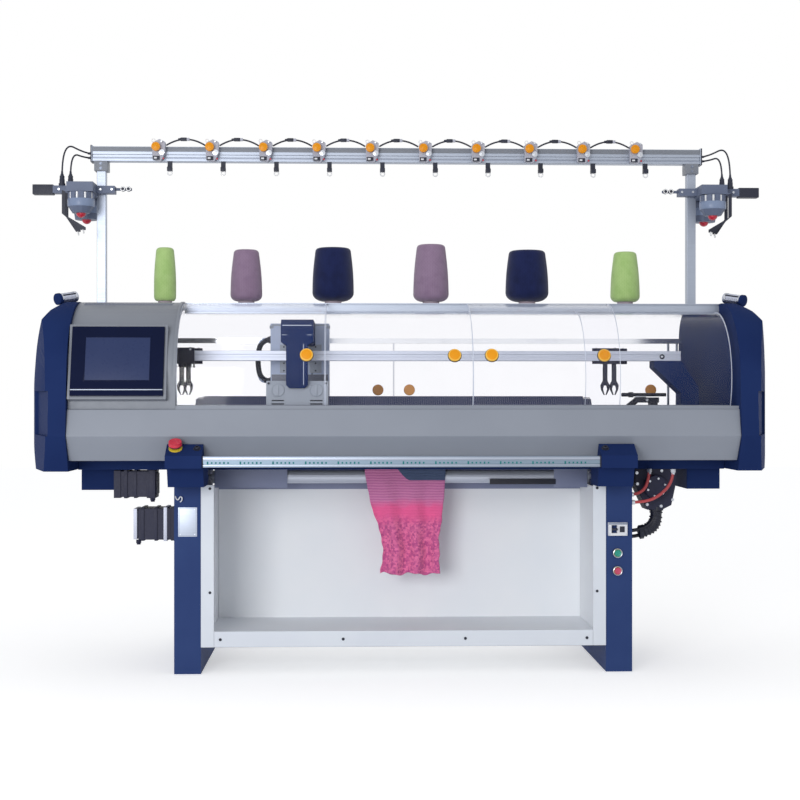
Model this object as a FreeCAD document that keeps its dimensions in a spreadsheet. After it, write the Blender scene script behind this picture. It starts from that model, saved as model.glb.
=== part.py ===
import FreeCAD, Part
import math
import os
from types import SimpleNamespace

import Sketcher

# A 52-inch class flat knitting machine.  +X is along the needle beds to the right of
# the operator, -Y faces the operator, +Z is up, the floor is Z = 0.  Millimetres.

os.makedirs("parts", exist_ok=True)
Vector = FreeCAD.Vector
doc = FreeCAD.newDocument("knitting_machine")

# ---------------------------------------------------------------- driving sizes

driving_sizes = {
    # plan of the whole machine
    "reach_half": 500,
    "feeder_reach": 1300,
    "sheet_gauge": 2.5,
    "fit_gap": 0.4,
    "seat_gap": 0.3,
    # heights, each one stacked on the one it stands on
    "girder_foot": 650,
    "shelf_rise": 40,
    "bed_rise": 238,
    "rail_rise": 119,
    "carriage_rise": 248,
    "cam_box_rise": 49,
    "bridge_rise": 170,
    "stem_rise": 25,
    "casing_rise": 303,
    "panel_drop": 42,
    "panel_upper": 83,
    "panel_lower": 78,
    "beam_rise": 539,
    # side profile of the casing, seen from the end
    "casing_front": 415,
    "casing_curve": 245,
    "casing_rear": 415,
    "rear_curve": 90,
    "panel_proud": 35,
    "panel_tuck": 400,
    "panel_return": 70,
    # end covers
    "casing_overhang": 315,
    "cover_bulge": 178,
    "cover_lift": 3,
    "cover_skirt": 33,
    "barrel_radius": 17,
    "barrel_length": 70,
    # sliding covers
    "acrylic": 4,
    "track_pitch": 24,
    "housing_width": 334,
    "slider_width": 466,
    "slider_overlap": 5,
    "pair_start": 211,
    "last_width": 480,
    "grip_radius": 20,
    "grip_height": 7,
    "grip_inset": 60,
    "grip_above_bed": 127,
    "rear_grip_above_bed": 24,
    "rear_grip_inset": 100,
    "rear_seam": 16,
    # table for the yarn packages
    "table_board": 12,
    "table_skin": 3,
    "cone_row": 110,
    # needle beds
    "bed_left": 690,
    "bed_right": 640,
    "bed_depth": 126,
    "bed_thick": 35,
    "bed_gap": 3,
    "throat": 8,
    "throat_centre": 50,
    # main beam
    "shelf_width": 60,
    "end_block": 110,
    "end_block_drop": 69,
    # yarn carrier rails
    "rail_stop": 140,
    "rail_height": 33,
    "rail_width": 14,
    "rail_pitch": 46,
    # carriage
    "carriage_left": 445,
    "carriage_width": 200,
    "carriage_front_depth": 140,
    "carriage_rear_depth": 130,
    "bridge_width": 104,
    "bridge_front": 268,
    "stem_width": 70,
    "guide_height": 30,
    "guide_width": 20,
    # legs and the operating bar
    "leg_outer": 735,
    "leg_width": 85,
    "leg_front": 300,
    "bar_centre": 13,
    "bar_gap": 35,
    "bar_inset": 22,
    "bar_half_height": 17,
    "bar_half_depth": 14,
    "bracket_width": 112,
    "bracket_drop": 73,
    "pivot_radius": 6,
    "pivot_fit": 0.05,
    # controls
    "start_level": 382,
    "stop_level": 325,
    "breaker_level": 460,
    "button_radius": 11,
    "button_bezel": 15,
    "estop_head_radius": 20,
    # tray
    "tray_gap": 18,
    "tray_front": 302,
    "tray_back": 104,
    "tray_floor": 120,
    "tray_lip_rise": 16,
    "tray_lip_drop": 35,
    "tray_back_height": 449,
    "tray_flange": 24,
    "tray_gauge": 2,
    # take-down
    "roller_radius": 22,
    "roller_back": 26,
    "roller_drop": 35,
    "roller_journal": 9,
    "fabric_thick": 3,
    # superstructure
    "beam_overhang": 31,
    "beam_row": 300,
    "beam_height": 54,
    "beam_depth": 40,
    "post_setting": 14,
    "post_width": 32,
    "drum_radius": 46,
    "drum_axle": 5,
    "feeder_drop": 90,
    "feeder_thick": 34,
}

sheet = doc.addObject("Spreadsheet::Sheet", "sizes")
for row, (word, number) in enumerate(driving_sizes.items(), start=1):
    sheet.set(f"A{row}", word)
    sheet.set(f"B{row}", str(number))
    sheet.setAlias(f"B{row}", word)
doc.recompute()


class Length:
    """A length together with the sheet formula that gives it."""

    def __init__(self, value, formula):
        self.value = float(value)
        self.formula = formula

    def joined(self, sign, other, value):
        return Length(value, f"({self.formula} {sign} {formula_of(other)})")

    def __add__(self, other):
        return self.joined("+", other, self.value + value_of(other))

    def __sub__(self, other):
        return self.joined("-", other, self.value - value_of(other))

    def __mul__(self, other):
        return self.joined("*", other, self.value * value_of(other))

    def __truediv__(self, other):
        return self.joined("/", other, self.value / value_of(other))

    def __radd__(self, other):
        return as_length(other) + self

    def __rsub__(self, other):
        return as_length(other) - self

    def __rmul__(self, other):
        return as_length(other) * self

    def __neg__(self):
        return Length(-self.value, f"(0 - {self.formula})")


def value_of(thing):
    return thing.value if isinstance(thing, Length) else float(thing)


def formula_of(thing):
    return thing.formula if isinstance(thing, Length) else f"({float(thing):.9g})"


def as_length(thing):
    return thing if isinstance(thing, Length) else Length(thing, formula_of(thing))


m = SimpleNamespace(**{word: Length(number, f"sizes.{word}") for word, number in driving_sizes.items()})

# Levels that several pieces share, worked out from the stack of heights.
guide_shelf = m.girder_foot + m.shelf_rise
bed_crest = m.girder_foot + m.bed_rise
rail_foot = bed_crest + m.rail_rise
carriage_top = bed_crest + m.carriage_rise
casing_top = bed_crest + m.casing_rise
top_line = casing_top + m.cover_lift
panel_top = bed_crest - m.panel_drop
panel_crease = panel_top - m.panel_upper
panel_bottom = panel_crease - m.panel_lower
leg_shoulder = panel_bottom - 8
beam_foot = casing_top + m.beam_rise
beam_top = beam_foot + m.beam_height

# Distances from the middle, each one set out from the legs.
leg_inner = m.leg_outer - m.leg_width
tray_half = leg_inner - m.tray_gap
bar_half = leg_inner - m.bar_gap
cover_inner = m.leg_outer + m.casing_overhang
cover_outer = cover_inner + m.cover_bulge
block_inner = cover_inner - m.end_block
housing_right = cover_inner - m.housing_width
last_start = cover_inner - m.last_width
rail_left, rail_right = block_inner - m.rail_stop, block_inner + 3
post_place = cover_inner + m.post_setting
beam_half = post_place + m.beam_overhang

# ---------------------------------------------------------------- building helpers

nodes = {}
ways = {"+X": Vector(1, 0, 0), "-X": Vector(-1, 0, 0), "+Y": Vector(0, 1, 0),
        "-Y": Vector(0, -1, 0), "+Z": Vector(0, 0, 1), "-Z": Vector(0, 0, -1)}


def bind(thing, name, value):
    """Set one property from a length, and tie it to the sheet where it has a formula."""
    value = as_length(value)
    if "sizes." in value.formula:
        thing.setExpression(name, value.formula)
    else:
        parts = name.split(".")
        if len(parts) == 1:
            setattr(thing, name, value.value)
        else:
            place = getattr(thing, parts[0])
            base = place.Base
            setattr(base, parts[2], value.value)
            setattr(thing, parts[0], FreeCAD.Placement(base, place.Rotation))


def put(thing, at, way=None):
    """Stand a solid at a point, with its own +Z along the given way."""
    if way is not None:
        direction = ways[way] if isinstance(way, str) else Vector(*way)
        turn = FreeCAD.Rotation(Vector(0, 0, 1), direction)
        thing.Placement = FreeCAD.Placement(Vector(0, 0, 0), turn)
    for axis, value in zip("xyz", at):
        bind(thing, f"Placement.Base.{axis}", value)
    return thing


def box(across, along, up):
    """A block between three pairs of limits."""
    block = doc.addObject("Part::Box", "block")
    for side, (low, high) in zip(("Length", "Width", "Height"), (across, along, up)):
        bind(block, side, as_length(high) - low)
    return put(block, (across[0], along[0], up[0]))


def rod(at, way, radius, length):
    """A round bar that starts at a point and runs along a way."""
    bar = doc.addObject("Part::Cylinder", "round")
    bind(bar, "Radius", radius)
    bind(bar, "Height", length)
    return put(bar, at, way)


def facet_rod(at, way, radius, length, sides):
    """A small round piece made with a few flat sides."""
    bar = doc.addObject("Part::Prism", "facets")
    bar.Polygon = sides
    bind(bar, "Circumradius", radius)
    bind(bar, "Height", length)
    return put(bar, at, way)


def facet_ring(at, way, bore, rim, length, sides):
    return cut(facet_rod(at, way, rim, length, sides), facet_rod(at, way, bore, length, sides))


def cut(base, *tools):
    for tool in tools:
        result = doc.addObject("Part::Cut", "cut")
        result.Base = base
        result.Tool = tool
        base = result
    return base


def fused(*pieces):
    result = doc.addObject("Part::MultiFuse", "fused")
    result.Shapes = list(pieces)
    return result


def common(first, second):
    result = doc.addObject("Part::Common", "common")
    result.Base = first
    result.Tool = second
    return result


def together(*pieces):
    """Loose solids that share a node."""
    result = doc.addObject("Part::Compound", "set")
    result.Links = list(pieces)
    return result


def name_node(label, piece):
    piece.Label = label
    nodes[label] = piece
    return piece


def corner_run(outline):
    """Turn an outline of corners (u, v) or (u, v, radius) into lines and tangent arcs."""
    count = len(outline)
    stops = []
    for index, corner in enumerate(outline):
        u, v = as_length(corner[0]), as_length(corner[1])
        if len(corner) == 2:
            stops.append(((u, v), (u, v), None))
            continue
        before, after = outline[index - 1], outline[(index + 1) % count]
        back = Vector(value_of(before[0]) - u.value, value_of(before[1]) - v.value).normalize()
        ahead = Vector(value_of(after[0]) - u.value, value_of(after[1]) - v.value).normalize()
        reach = 1 / math.tan(back.getAngle(ahead) / 2)
        radius = as_length(corner[2])
        first = (u + radius * (back.x * reach), v + radius * (back.y * reach))
        last = (u + radius * (ahead.x * reach), v + radius * (ahead.y * reach))
        left_turn = (-back).cross(ahead).z > 0
        middle = (back + ahead).normalize() * (radius.value / math.sin(back.getAngle(ahead) / 2))
        centre = Vector(u.value + middle.x, v.value + middle.y, 0)
        stops.append((first, last, (centre, radius, left_turn)))
    return stops


def flat(point):
    return Vector(value_of(point[0]), value_of(point[1]), 0)


def draw(body, plane, outline, offset):
    """A closed sketch whose every corner is pinned to the sheet."""
    sketch = body.newObject("Sketcher::SketchObject", "outline")
    plane_role = next(o for o in body.Origin.OriginFeatures if o.Role == plane + "_Plane")
    sketch.AttachmentSupport = [(plane_role, "")]
    sketch.MapMode = "FlatFace"
    bind(sketch, "AttachmentOffset.Base.z", offset)
    pieces = []
    stops = corner_run(outline)
    for index, (first, last, arc) in enumerate(stops):
        if arc:
            centre, radius, left_turn = arc
            circle = Part.Circle(centre, Vector(0, 0, 1), radius.value)
            ends = [circle.parameter(flat(p)) for p in (first, last)]
            if not left_turn:
                ends.reverse()
            if ends[1] < ends[0]:
                ends[1] += 2 * math.pi
            edge = sketch.addGeometry(Part.ArcOfCircle(circle, *ends), False)
            pieces.append((edge, 1 if left_turn else 2, 2 if left_turn else 1, first, radius))
        following = stops[(index + 1) % len(stops)][0]
        if (flat(following) - flat(last)).Length > 1e-6:
            edge = sketch.addGeometry(Part.LineSegment(flat(last), flat(following)), False)
            pieces.append((edge, 1, 2, last, None))
    for index, (edge, start, end, place, radius) in enumerate(pieces):
        following = pieces[(index + 1) % len(pieces)]
        sketch.addConstraint(Sketcher.Constraint("Coincident", edge, end, following[0], following[1]))
        for kind, value in (("DistanceX", place[0]), ("DistanceY", place[1])):
            pin = Sketcher.Constraint(kind, -1, 1, edge, start, value_of(value))
            tie(sketch, sketch.addConstraint(pin), value)
        if radius:
            pin = Sketcher.Constraint("Radius", edge, radius.value)
            tie(sketch, sketch.addConstraint(pin), radius)
    return sketch


def tie(sketch, constraint, value):
    if "sizes." in formula_of(value):
        sketch.setExpression(f"Constraints[{constraint}]", formula_of(value))


def pad(plane, outline, low, high):
    """Stretch an outline between two planes square to X, Y or Z."""
    body = doc.addObject("PartDesign::Body", "body")
    offset = -as_length(high) if plane == "XZ" else low
    sketch = draw(body, plane, outline, offset)
    feature = body.newObject("PartDesign::Pad", "pad")
    feature.Profile = sketch
    bind(feature, "Length", as_length(high) - low)
    return body


def mirrored(outline):
    return [(-as_length(u), *rest) for u, *rest in reversed(outline)]


def shaped(name, shape):
    """A piece whose surface comes straight from worked-out edges."""
    piece = doc.addObject("Part::Feature", name)
    piece.Shape = shape
    return piece


def ring_of(radii, level):
    """A closed ring of points, evenly spaced round the Z axis."""
    step = 2 * math.pi / len(radii)
    return [Vector(r * math.cos(i * step), r * math.sin(i * step), level) for i, r in enumerate(radii)]


def skin(rings, flat_quads=True):
    """A closed solid over rings of points, with flat facets from each ring to the next."""
    faces = [Part.Face(Part.makePolygon(ring + ring[:1])) for ring in (rings[0], rings[-1])]
    for lower, upper in zip(rings, rings[1:]):
        for here in range(len(lower)):
            ahead = (here + 1) % len(lower)
            a, b, c, d = lower[here], lower[ahead], upper[ahead], upper[here]
            for corners in ([[a, b, c, d]] if flat_quads else [[a, b, c], [a, c, d]]):
                faces.append(Part.Face(Part.makePolygon(corners + corners[:1])))
    solid = Part.makeSolid(Part.makeShell(faces))
    if solid.Volume < 0:
        solid.reverse()
    return solid


tube_sides, bend_steps = 4, 3


def cord_route(points):
    """Points along straight runs joined by arcs as large as the runs allow, and the least radius."""
    stops, bends = [points[0]], []
    for before, here, after in zip(points, points[1:], points[2:]):
        back, ahead = before - here, after - here
        half_turn = (math.pi - back.getAngle(ahead)) / 2
        reach = 0.45 * min(back.Length, ahead.Length)
        bends.append(reach / math.tan(half_turn))
        back.normalize()
        ahead.normalize()
        centre = here + (back + ahead).normalize() * (bends[-1] / math.cos(half_turn))
        spoke = here + back * reach - centre
        for step in range(bend_steps + 1):
            turn = FreeCAD.Rotation(back.cross(spoke), math.degrees(2 * half_turn) * step / bend_steps)
            stops.append(centre + turn.multVec(spoke))
    return stops + [points[-1]], min(bends)


def tube(name, points, radius):
    """A cord or hose along its route, with a few flat sides and square ends."""
    stops, least_bend = cord_route([Vector(*(value_of(c) for c in p)) for p in points])
    runs = [(after - before).normalize() for before, after in zip(stops, stops[1:])]
    aims = [runs[0], *((a + b).normalize() for a, b in zip(runs, runs[1:])), runs[-1]]
    turn = FreeCAD.Rotation(Vector(0, 0, 1), aims[0])
    rings = []
    for stop, last, aim in zip(stops, [aims[0], *aims], aims):
        turn = FreeCAD.Rotation(last, aim).multiply(turn)
        rings.append([stop + turn.multVec(corner) for corner in ring_of([radius] * tube_sides, 0)])
    length = sum((after - before).Length for before, after in zip(stops, stops[1:]))
    print(f"{name}: length {length:.0f}, least bend {least_bend:.1f}")
    return shaped(name, skin(rings, flat_quads=False))


# ---------------------------------------------------------------- casing

cover_bottom = panel_bottom - m.cover_skirt
crease_reach = m.casing_front + m.panel_proud
cover_side = [
    (-(m.casing_front + m.cover_lift), top_line, m.casing_curve + m.cover_lift),
    (m.casing_rear + m.cover_lift, top_line, m.rear_curve + m.cover_lift),
    (m.casing_rear + m.panel_proud + 8, panel_crease),
    (m.panel_tuck + 8, cover_bottom),
    (-(m.panel_tuck + 8), cover_bottom),
    (-(crease_reach + 8), panel_crease),
]
shoulder_in, shoulder_out, shoulder_fall = cover_outer - 144, cover_outer - 106, 33
shoulder_slope = shoulder_fall / (144 - 106)


def sided(outline, side):
    return outline if side > 0 else mirrored(outline)


def sided_pair(side, first, second):
    """Two distances from the middle, as limits on the right or on the left."""
    ends = (as_length(first) * side, as_length(second) * side)
    return ends if ends[0].value < ends[1].value else (ends[1], ends[0])


def end_cover(side):
    """A moulded end cover: its side profile, front outline and plan met in one solid."""
    inner, outer, reach = cover_inner, cover_outer, m.reach_half
    front_view = [
        (inner, cover_bottom), (outer - 37, cover_bottom), (outer, panel_crease + 20, 150),
        (outer - 12, panel_crease + 140, 500), (outer - 48, top_line - 129, 300),
        (shoulder_out, top_line - shoulder_fall), (shoulder_in, top_line), (inner, top_line),
    ]
    nose, waist = outer - 116, 100
    plan = [
        (inner, -reach), (nose - 7, -reach), (nose, -crease_reach), (outer, -waist, 600),
        (outer, waist, 600), (nose, crease_reach), (nose - 7, reach), (inner, reach),
    ]
    facet = [
        (nose - 8, -reach), (outer + 10, -reach), (outer + 10, -waist - 89), (outer - 39, -waist - 89),
        (nose - 8, -crease_reach + 2),
    ]
    profile = pad("YZ", cover_side, *sided_pair(side, inner, outer + 5))
    shell = common(profile, pad("XZ", sided(front_view, side), -reach, reach))
    shell = common(shell, pad("XY", sided(plan, side), cover_bottom - 1, top_line + 1))
    return cut(shell, pad("XY", sided(facet, side), panel_crease, panel_crease + 140))


name_node("right_end_cover", end_cover(1))
name_node("left_end_cover", end_cover(-1))


def top_barrel(side):
    """A capped barrel on the shoulder of an end cover, aimed outwards and to the front."""
    start = (side * (cover_outer - 108), m.casing_curve - m.casing_front - 35, top_line + 8.5)
    way = (-side * 0.66, 0.73, 0.17)
    body = facet_rod(start, way, m.barrel_radius, m.barrel_length, 14)
    cap = facet_rod(start, [-step for step in way], m.barrel_radius + 1.5, 5, 16)
    near, far = shoulder_in + 2, shoulder_in + 16
    foot = [
        (near, top_line - 2 * shoulder_slope), (far, top_line - 16 * shoulder_slope),
        (far, top_line + 9), (near, top_line + 9),
    ]
    back = m.casing_curve - m.casing_front
    return fused(body, cap, pad("XZ", sided(foot, side), back + 1, back + 20))


name_node("top_barrels", together(top_barrel(1), top_barrel(-1)))


def folded_panel(front, side):
    """A sheet panel folded at its top edge, at the crease and under the bed."""
    gauge, hem = m.sheet_gauge, m.panel_tuck - m.panel_return
    proud = front + m.panel_proud
    outline = [
        (front - 27, panel_top), (front + 15, panel_top), (proud, panel_crease),
        (m.panel_tuck, panel_bottom), (hem, panel_bottom), (hem, panel_bottom + gauge),
        (m.panel_tuck - 1.5, panel_bottom + gauge), (proud - gauge - 0.2, panel_crease),
        (front + 15.2 - gauge, panel_top - gauge), (front - 27, panel_top - gauge),
    ]
    return pad("YZ", sided(outline, side), -cover_inner, cover_inner)


name_node("front_panel", folded_panel(m.casing_front, -1))
name_node("rear_panel", folded_panel(m.casing_rear, 1))

# ---------------------------------------------------------------- sliding covers

track_floor, track_rise = 3, 11
slider_foot = panel_top + track_floor + m.seat_gap
slider_edge = 6
table_top = casing_top + m.table_skin
hood_lip = casing_top - m.rear_curve
grip_level = bed_crest + m.grip_above_bed


def curved_strip(front, top, curve, thick, foot):
    """The side profile of a bent sheet: upright, then rolled back to the table."""
    back = front - curve - slider_edge
    return [
        (-front, foot), (-front, top, curve), (-back, top), (-back, top - thick),
        (-(front - thick), top - thick, curve - thick), (-(front - thick), foot),
    ]


def grip(across, along, level, way):
    """A round finger knob."""
    return facet_rod((across, along, level), way, m.grip_radius, m.grip_height, 16)


def front_slider(low, high, inset, grip_at):
    """A bent acrylic cover with its knob; inset puts it on the outer or the inner track."""
    front, top, curve = m.casing_front - inset, casing_top - inset, m.casing_curve - inset
    bent = pad("YZ", curved_strip(front, top, curve, m.acrylic, slider_foot), low, high)
    centre = (curve - front, top - curve)
    rise = math.asin((grip_level - centre[1]).value / curve.value)
    out = (0, -math.cos(rise), math.sin(rise))
    return together(bent, grip(grip_at, centre[0] + curve * out[1], centre[1] + curve * out[2], out))


outer_track, inner_track = as_length(0), m.track_pitch
first_start = -housing_right + 1
first_end = -housing_right + m.slider_width
second_end = m.pair_start + m.slider_overlap
name_node("front_cover_1", front_slider(first_start, first_end, outer_track, first_end - m.grip_inset))
name_node("front_cover_2", front_slider(first_end - m.slider_overlap, second_end, inner_track,
                                        second_end - m.grip_inset))
name_node("front_cover_3", front_slider(m.pair_start, m.pair_start + m.slider_width, outer_track,
                                        m.pair_start + m.grip_inset))
name_node("front_cover_4", front_slider(last_start, last_start + m.slider_width, inner_track,
                                        last_start + m.grip_inset))


def rear_slider(low, high, inset, grips_at):
    """A flat upright cover at the back, with a knob near each end."""
    back = m.casing_rear - inset
    pane = box((low, high), (back - m.acrylic, back), (slider_foot, hood_lip - 8))
    level = bed_crest + m.rear_grip_above_bed
    return together(pane, *(grip(x, back, level, "+Y") for x in grips_at))


rear_end = cover_inner - 12
left_edge, right_edge = -m.rear_seam + m.slider_overlap, -m.rear_seam
name_node("rear_cover_left", rear_slider(-rear_end, left_edge, outer_track, (
    -rear_end + m.rear_grip_inset, left_edge - m.grip_inset)))
name_node("rear_cover_right", rear_slider(right_edge, rear_end, inner_track, (
    right_edge + m.grip_inset, rear_end - m.rear_grip_inset)))


def track(face, base, floor, rise):
    """A straight track with two grooves, one for each row of covers."""
    clear, wall = m.fit_gap, m.acrylic
    outline = [(-(face + 5), base), (-(face + 5), rise)]
    for edge in (face, face - m.track_pitch):
        near, far = edge + clear, edge - wall - clear
        outline += [(-near, rise), (-near, floor), (-far, floor), (-far, rise)]
    last = face - m.track_pitch - wall - 7
    return outline + [(-last, rise), (-last, base)]


def front_head_track():
    """A head track behind the rolled edges of the covers, with a slot for each row."""
    clear, wall = m.fit_gap, m.acrylic
    mouth = m.casing_front - m.casing_curve
    deep = mouth - slider_edge - m.seat_gap
    back = mouth - 20
    outline = [(-back, table_top), (-mouth, table_top)]
    for top in (casing_top, casing_top - m.track_pitch):
        upper, lower = top + clear, top - wall - clear
        outline += [(-mouth, upper), (-deep, upper), (-deep, lower), (-mouth, lower)]
    foot = casing_top - m.track_pitch - wall - 4
    return outline + [(-mouth, foot), (-back, foot)]


floor_levels = (panel_top, panel_top + track_floor, panel_top + track_rise)
head_levels = (hood_lip, hood_lip - 5, hood_lip - 18)
name_node("cover_tracks", together(
    pad("YZ", track(m.casing_front, *floor_levels), -housing_right, cover_inner),
    pad("YZ", front_head_track(), -housing_right, cover_inner),
    pad("YZ", mirrored(track(m.casing_rear, *floor_levels)), -cover_inner, cover_inner),
    pad("YZ", mirrored(track(m.casing_rear, *head_levels)), -cover_inner, cover_inner)))


def cone_table():
    """The board the yarn packages stand on, with a hood rolled down behind it."""
    edge, gauge = m.casing_rear - m.rear_curve - 20, m.sheet_gauge
    rear, curve = m.casing_rear + m.table_skin, m.rear_curve + m.table_skin
    hood = [
        (edge - 6, table_top), (rear, table_top, curve), (rear, hood_lip), (rear - gauge, hood_lip),
        (rear - gauge, table_top - gauge, curve - gauge), (edge - 6, table_top - gauge),
    ]
    front = m.casing_front - m.casing_curve - 20
    board = box((-cover_inner, cover_inner), (-front, edge), (table_top - m.table_board, table_top))
    return fused(board, pad("YZ", hood, -cover_inner, cover_inner))


name_node("cone_table", cone_table())

# The screen sits in a housing that carries the line of the covers on to the left end.
screen_lean = 13.7
screen_middle = (-(cover_inner + housing_right) / 2 - 12, -(m.casing_front - 2), grip_level - 22)
screen_width, screen_tall = 286, 222


def leaned(piece, pivot, axis, angle):
    """Turn a finished piece about an axis through a point."""
    pivot = Vector(*(value_of(c) for c in pivot))
    turn = FreeCAD.Rotation(ways[axis], angle)
    holder = together(piece)
    holder.Placement = FreeCAD.Placement(pivot - turn.multVec(pivot), turn)
    return holder


def screen_block(grow, front, back):
    x, y, z = screen_middle
    wide, tall = screen_width / 2 + grow, screen_tall / 2 + grow
    block = box((x - wide, x + wide), (y - front, y + back), (z - tall, z + tall))
    return leaned(block, screen_middle, "+X", -screen_lean)


def screen_pane():
    x, y, z = screen_middle
    pane = box((x - 100, x + 100), (y - 30, y - 12.8), (z - 62, z + 76))
    return leaned(pane, screen_middle, "+X", -screen_lean)


def housing_shell():
    """The grey housing round the screen, with a thick rib beside the first cover."""
    front, top, curve = m.casing_front + 4, table_top, m.casing_curve + 4
    left, right = -cover_inner, -housing_right
    face = pad("YZ", curved_strip(front, top, curve, m.sheet_gauge, panel_top), left, right)
    rib = pad("YZ", curved_strip(front, top, curve, as_length(26), panel_top), right - 3, right)
    return cut(fused(face, rib), screen_block(0.5, 60, 60))


name_node("screen_housing", housing_shell())
name_node("touch_screen", cut(screen_block(0, 14, 22), screen_pane()))

# ---------------------------------------------------------------- bed and beam

rear_lip = m.throat / 2 - m.throat_centre
front_lip = -m.throat / 2 - m.throat_centre


def across_throat(outline):
    """The same outline on the other side of the throat between the beds."""
    return [(-m.throat_centre * 2 - as_length(u), *rest) for u, *rest in reversed(outline)]


front_bed = [
    (front_lip, bed_crest), (front_lip, bed_crest - m.bed_thick),
    (front_lip - m.bed_depth, bed_crest - m.bed_thick - m.bed_depth),
    (front_lip - m.bed_depth, bed_crest - m.bed_depth),
]


def needle_bed(outline):
    """An inclined steel bed with its ends stepped down beside the last needles."""
    plate = pad("YZ", outline, -m.bed_left, m.bed_right)
    step, drop, wide = 26, 9, m.bed_depth + 60
    steps = [box((low, low + step), (front_lip - wide, rear_lip + wide), (bed_crest - drop, bed_crest + 1))
             for low in (-m.bed_left, m.bed_right - step)]
    return cut(plate, *steps)


name_node("front_needle_bed", needle_bed(front_bed))
name_node("rear_needle_bed", needle_bed(across_throat(front_bed)))

# The main beam: two girders with inclined seats for the beds, joined by end blocks.
seat_line = bed_crest - m.bed_thick
girder_inner = front_lip - m.throat_centre + m.throat / 2
girder_outer = front_lip - m.bed_depth
shelf_edge = girder_outer - m.shelf_width
guide_centre = shelf_edge + m.guide_width
front_girder = [
    (girder_inner, m.girder_foot), (girder_inner, seat_line + girder_inner - front_lip),
    (girder_outer, seat_line - m.bed_depth), (girder_outer, guide_shelf),
    (shelf_edge, guide_shelf), (shelf_edge, m.girder_foot),
]


def end_block(low, high):
    return box((low, high), (girder_outer, -m.throat_centre * 2 - girder_outer),
               (m.girder_foot - m.end_block_drop, guide_shelf))


name_node("base_beam", fused(
    pad("YZ", front_girder, -cover_inner, cover_inner),
    pad("YZ", across_throat(front_girder), -cover_inner, cover_inner),
    end_block(-cover_inner, -block_inner), end_block(block_inner, cover_inner)))


def guide(centre):
    half = m.guide_width / 2
    return box((-cover_inner, cover_inner), (centre - half, centre + half),
               (guide_shelf, guide_shelf + m.guide_height))


name_node("carriage_guides", together(guide(guide_centre), guide(-m.throat_centre * 2 - guide_centre)))

# ---------------------------------------------------------------- yarn carrier rails

front_row, rear_row = -m.throat_centre - m.rail_pitch / 2, -m.throat_centre + m.rail_pitch / 2


def feeder_rail(row):
    """A drawn aluminium rail with a groove along each face."""
    half, foot, top = m.rail_width / 2, rail_foot, rail_foot + m.rail_height
    low, high = foot + 12, top - 12
    outline = [
        (row - half, foot), (row + half, foot), (row + half, low), (row + half - 2, low),
        (row + half - 2, high), (row + half, high), (row + half, top), (row - half, top),
        (row - half, high), (row - half + 2, high), (row - half + 2, low), (row - half, low),
    ]
    return pad("YZ", outline, -rail_left, rail_right)


name_node("feeder_rails", together(feeder_rail(front_row), feeder_rail(rear_row)))


def rail_bracket(side, end):
    """A plate bracket that carries the rails from the end block of the main beam."""
    foot_in, foot_out = block_inner + 2, block_inner + 62
    outline = [
        (end - 93, rail_foot), (end - 93, rail_foot - 22), (foot_in, rail_foot - 110),
        (foot_in, guide_shelf), (foot_out, guide_shelf), (foot_out, rail_foot - 90), (end, rail_foot),
    ]
    return pad("XZ", sided(outline, side), front_row - 17, rear_row + 17)


name_node("rail_brackets", together(rail_bracket(1, rail_right), rail_bracket(-1, rail_right)))


def yarn_carrier(across, row, side, lane):
    """A slider on one face of a rail, an arm under the rail and a claw over the throat."""
    def along(first, second):
        ends = (row + side * as_length(first), row + side * as_length(second))
        return ends if side > 0 else (ends[1], ends[0])

    half, lip, jaw = 45, 10, 9.7
    face = m.rail_width / 2 + m.seat_gap
    foot, top = rail_foot - lip, rail_foot + m.rail_height + lip
    slider = (across - half, across + half)
    plate = box(slider, along(face, face + 10), (foot, top))
    hook = box(slider, along(face - 6, face + 10), (top - jaw, top))
    shoe = box(slider, along(face - 6, face + 10), (foot, foot + jaw))
    near, far = lane - 2.25, lane + 2.25
    arm_ends = (near, row + face + 10) if side > 0 else (row - face - 10, far)
    arm = box((across - 8, across + 8), arm_ends, (foot - 12, foot))
    tip = [(-16, 37), (-14, 22), (-5, 4), (-1.5, 4), (-7, 24), (-4, 36),
           (4, 36), (7, 24), (1.5, 4), (5, 4), (14, 22), (16, 37)]
    claw = [(across + u, bed_crest + v) for u, v in [(-8, 52), *tip, (8, 52)]]
    return fused(plate, hook, shoe, arm, pad(
        "XZ", [(across - 8, foot - 9), *claw, (across + 8, foot - 9)], near, far))


carrier_places = {
    "yarn_carrier_1": (-rail_left + 62, front_row, -1, -m.throat_centre - 9.75),
    "yarn_carrier_2": (-rail_left + 82, rear_row, 1, -m.throat_centre + 9.75),
    "yarn_carrier_3": (rail_right - 253, front_row, 1, -m.throat_centre - 4.25),
    "yarn_carrier_4": (rail_right - 221, rear_row, -1, -m.throat_centre + 4.25),
}
for label, place in carrier_places.items():
    name_node(label, yarn_carrier(*place))

# ---------------------------------------------------------------- carriage

carriage_right = -m.carriage_left + m.carriage_width
carriage_middle = -m.carriage_left + m.carriage_width / 2
ride_height = guide_shelf + m.guide_height + m.seat_gap
tunnel = 58


def cam_box(depth, top):
    """The side profile of one half of the carriage, over the front bed."""
    inner = front_lip - tunnel
    outer = inner - depth
    over_bed = bed_crest + m.bed_gap
    rail_side = guide_centre + m.guide_width / 2 + 4
    return [
        (inner, over_bed - tunnel), (rail_side, over_bed + rail_side - front_lip),
        (rail_side, ride_height), (outer, ride_height), (outer, top - 16), (outer + 14, top),
        (inner, top),
    ]


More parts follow.
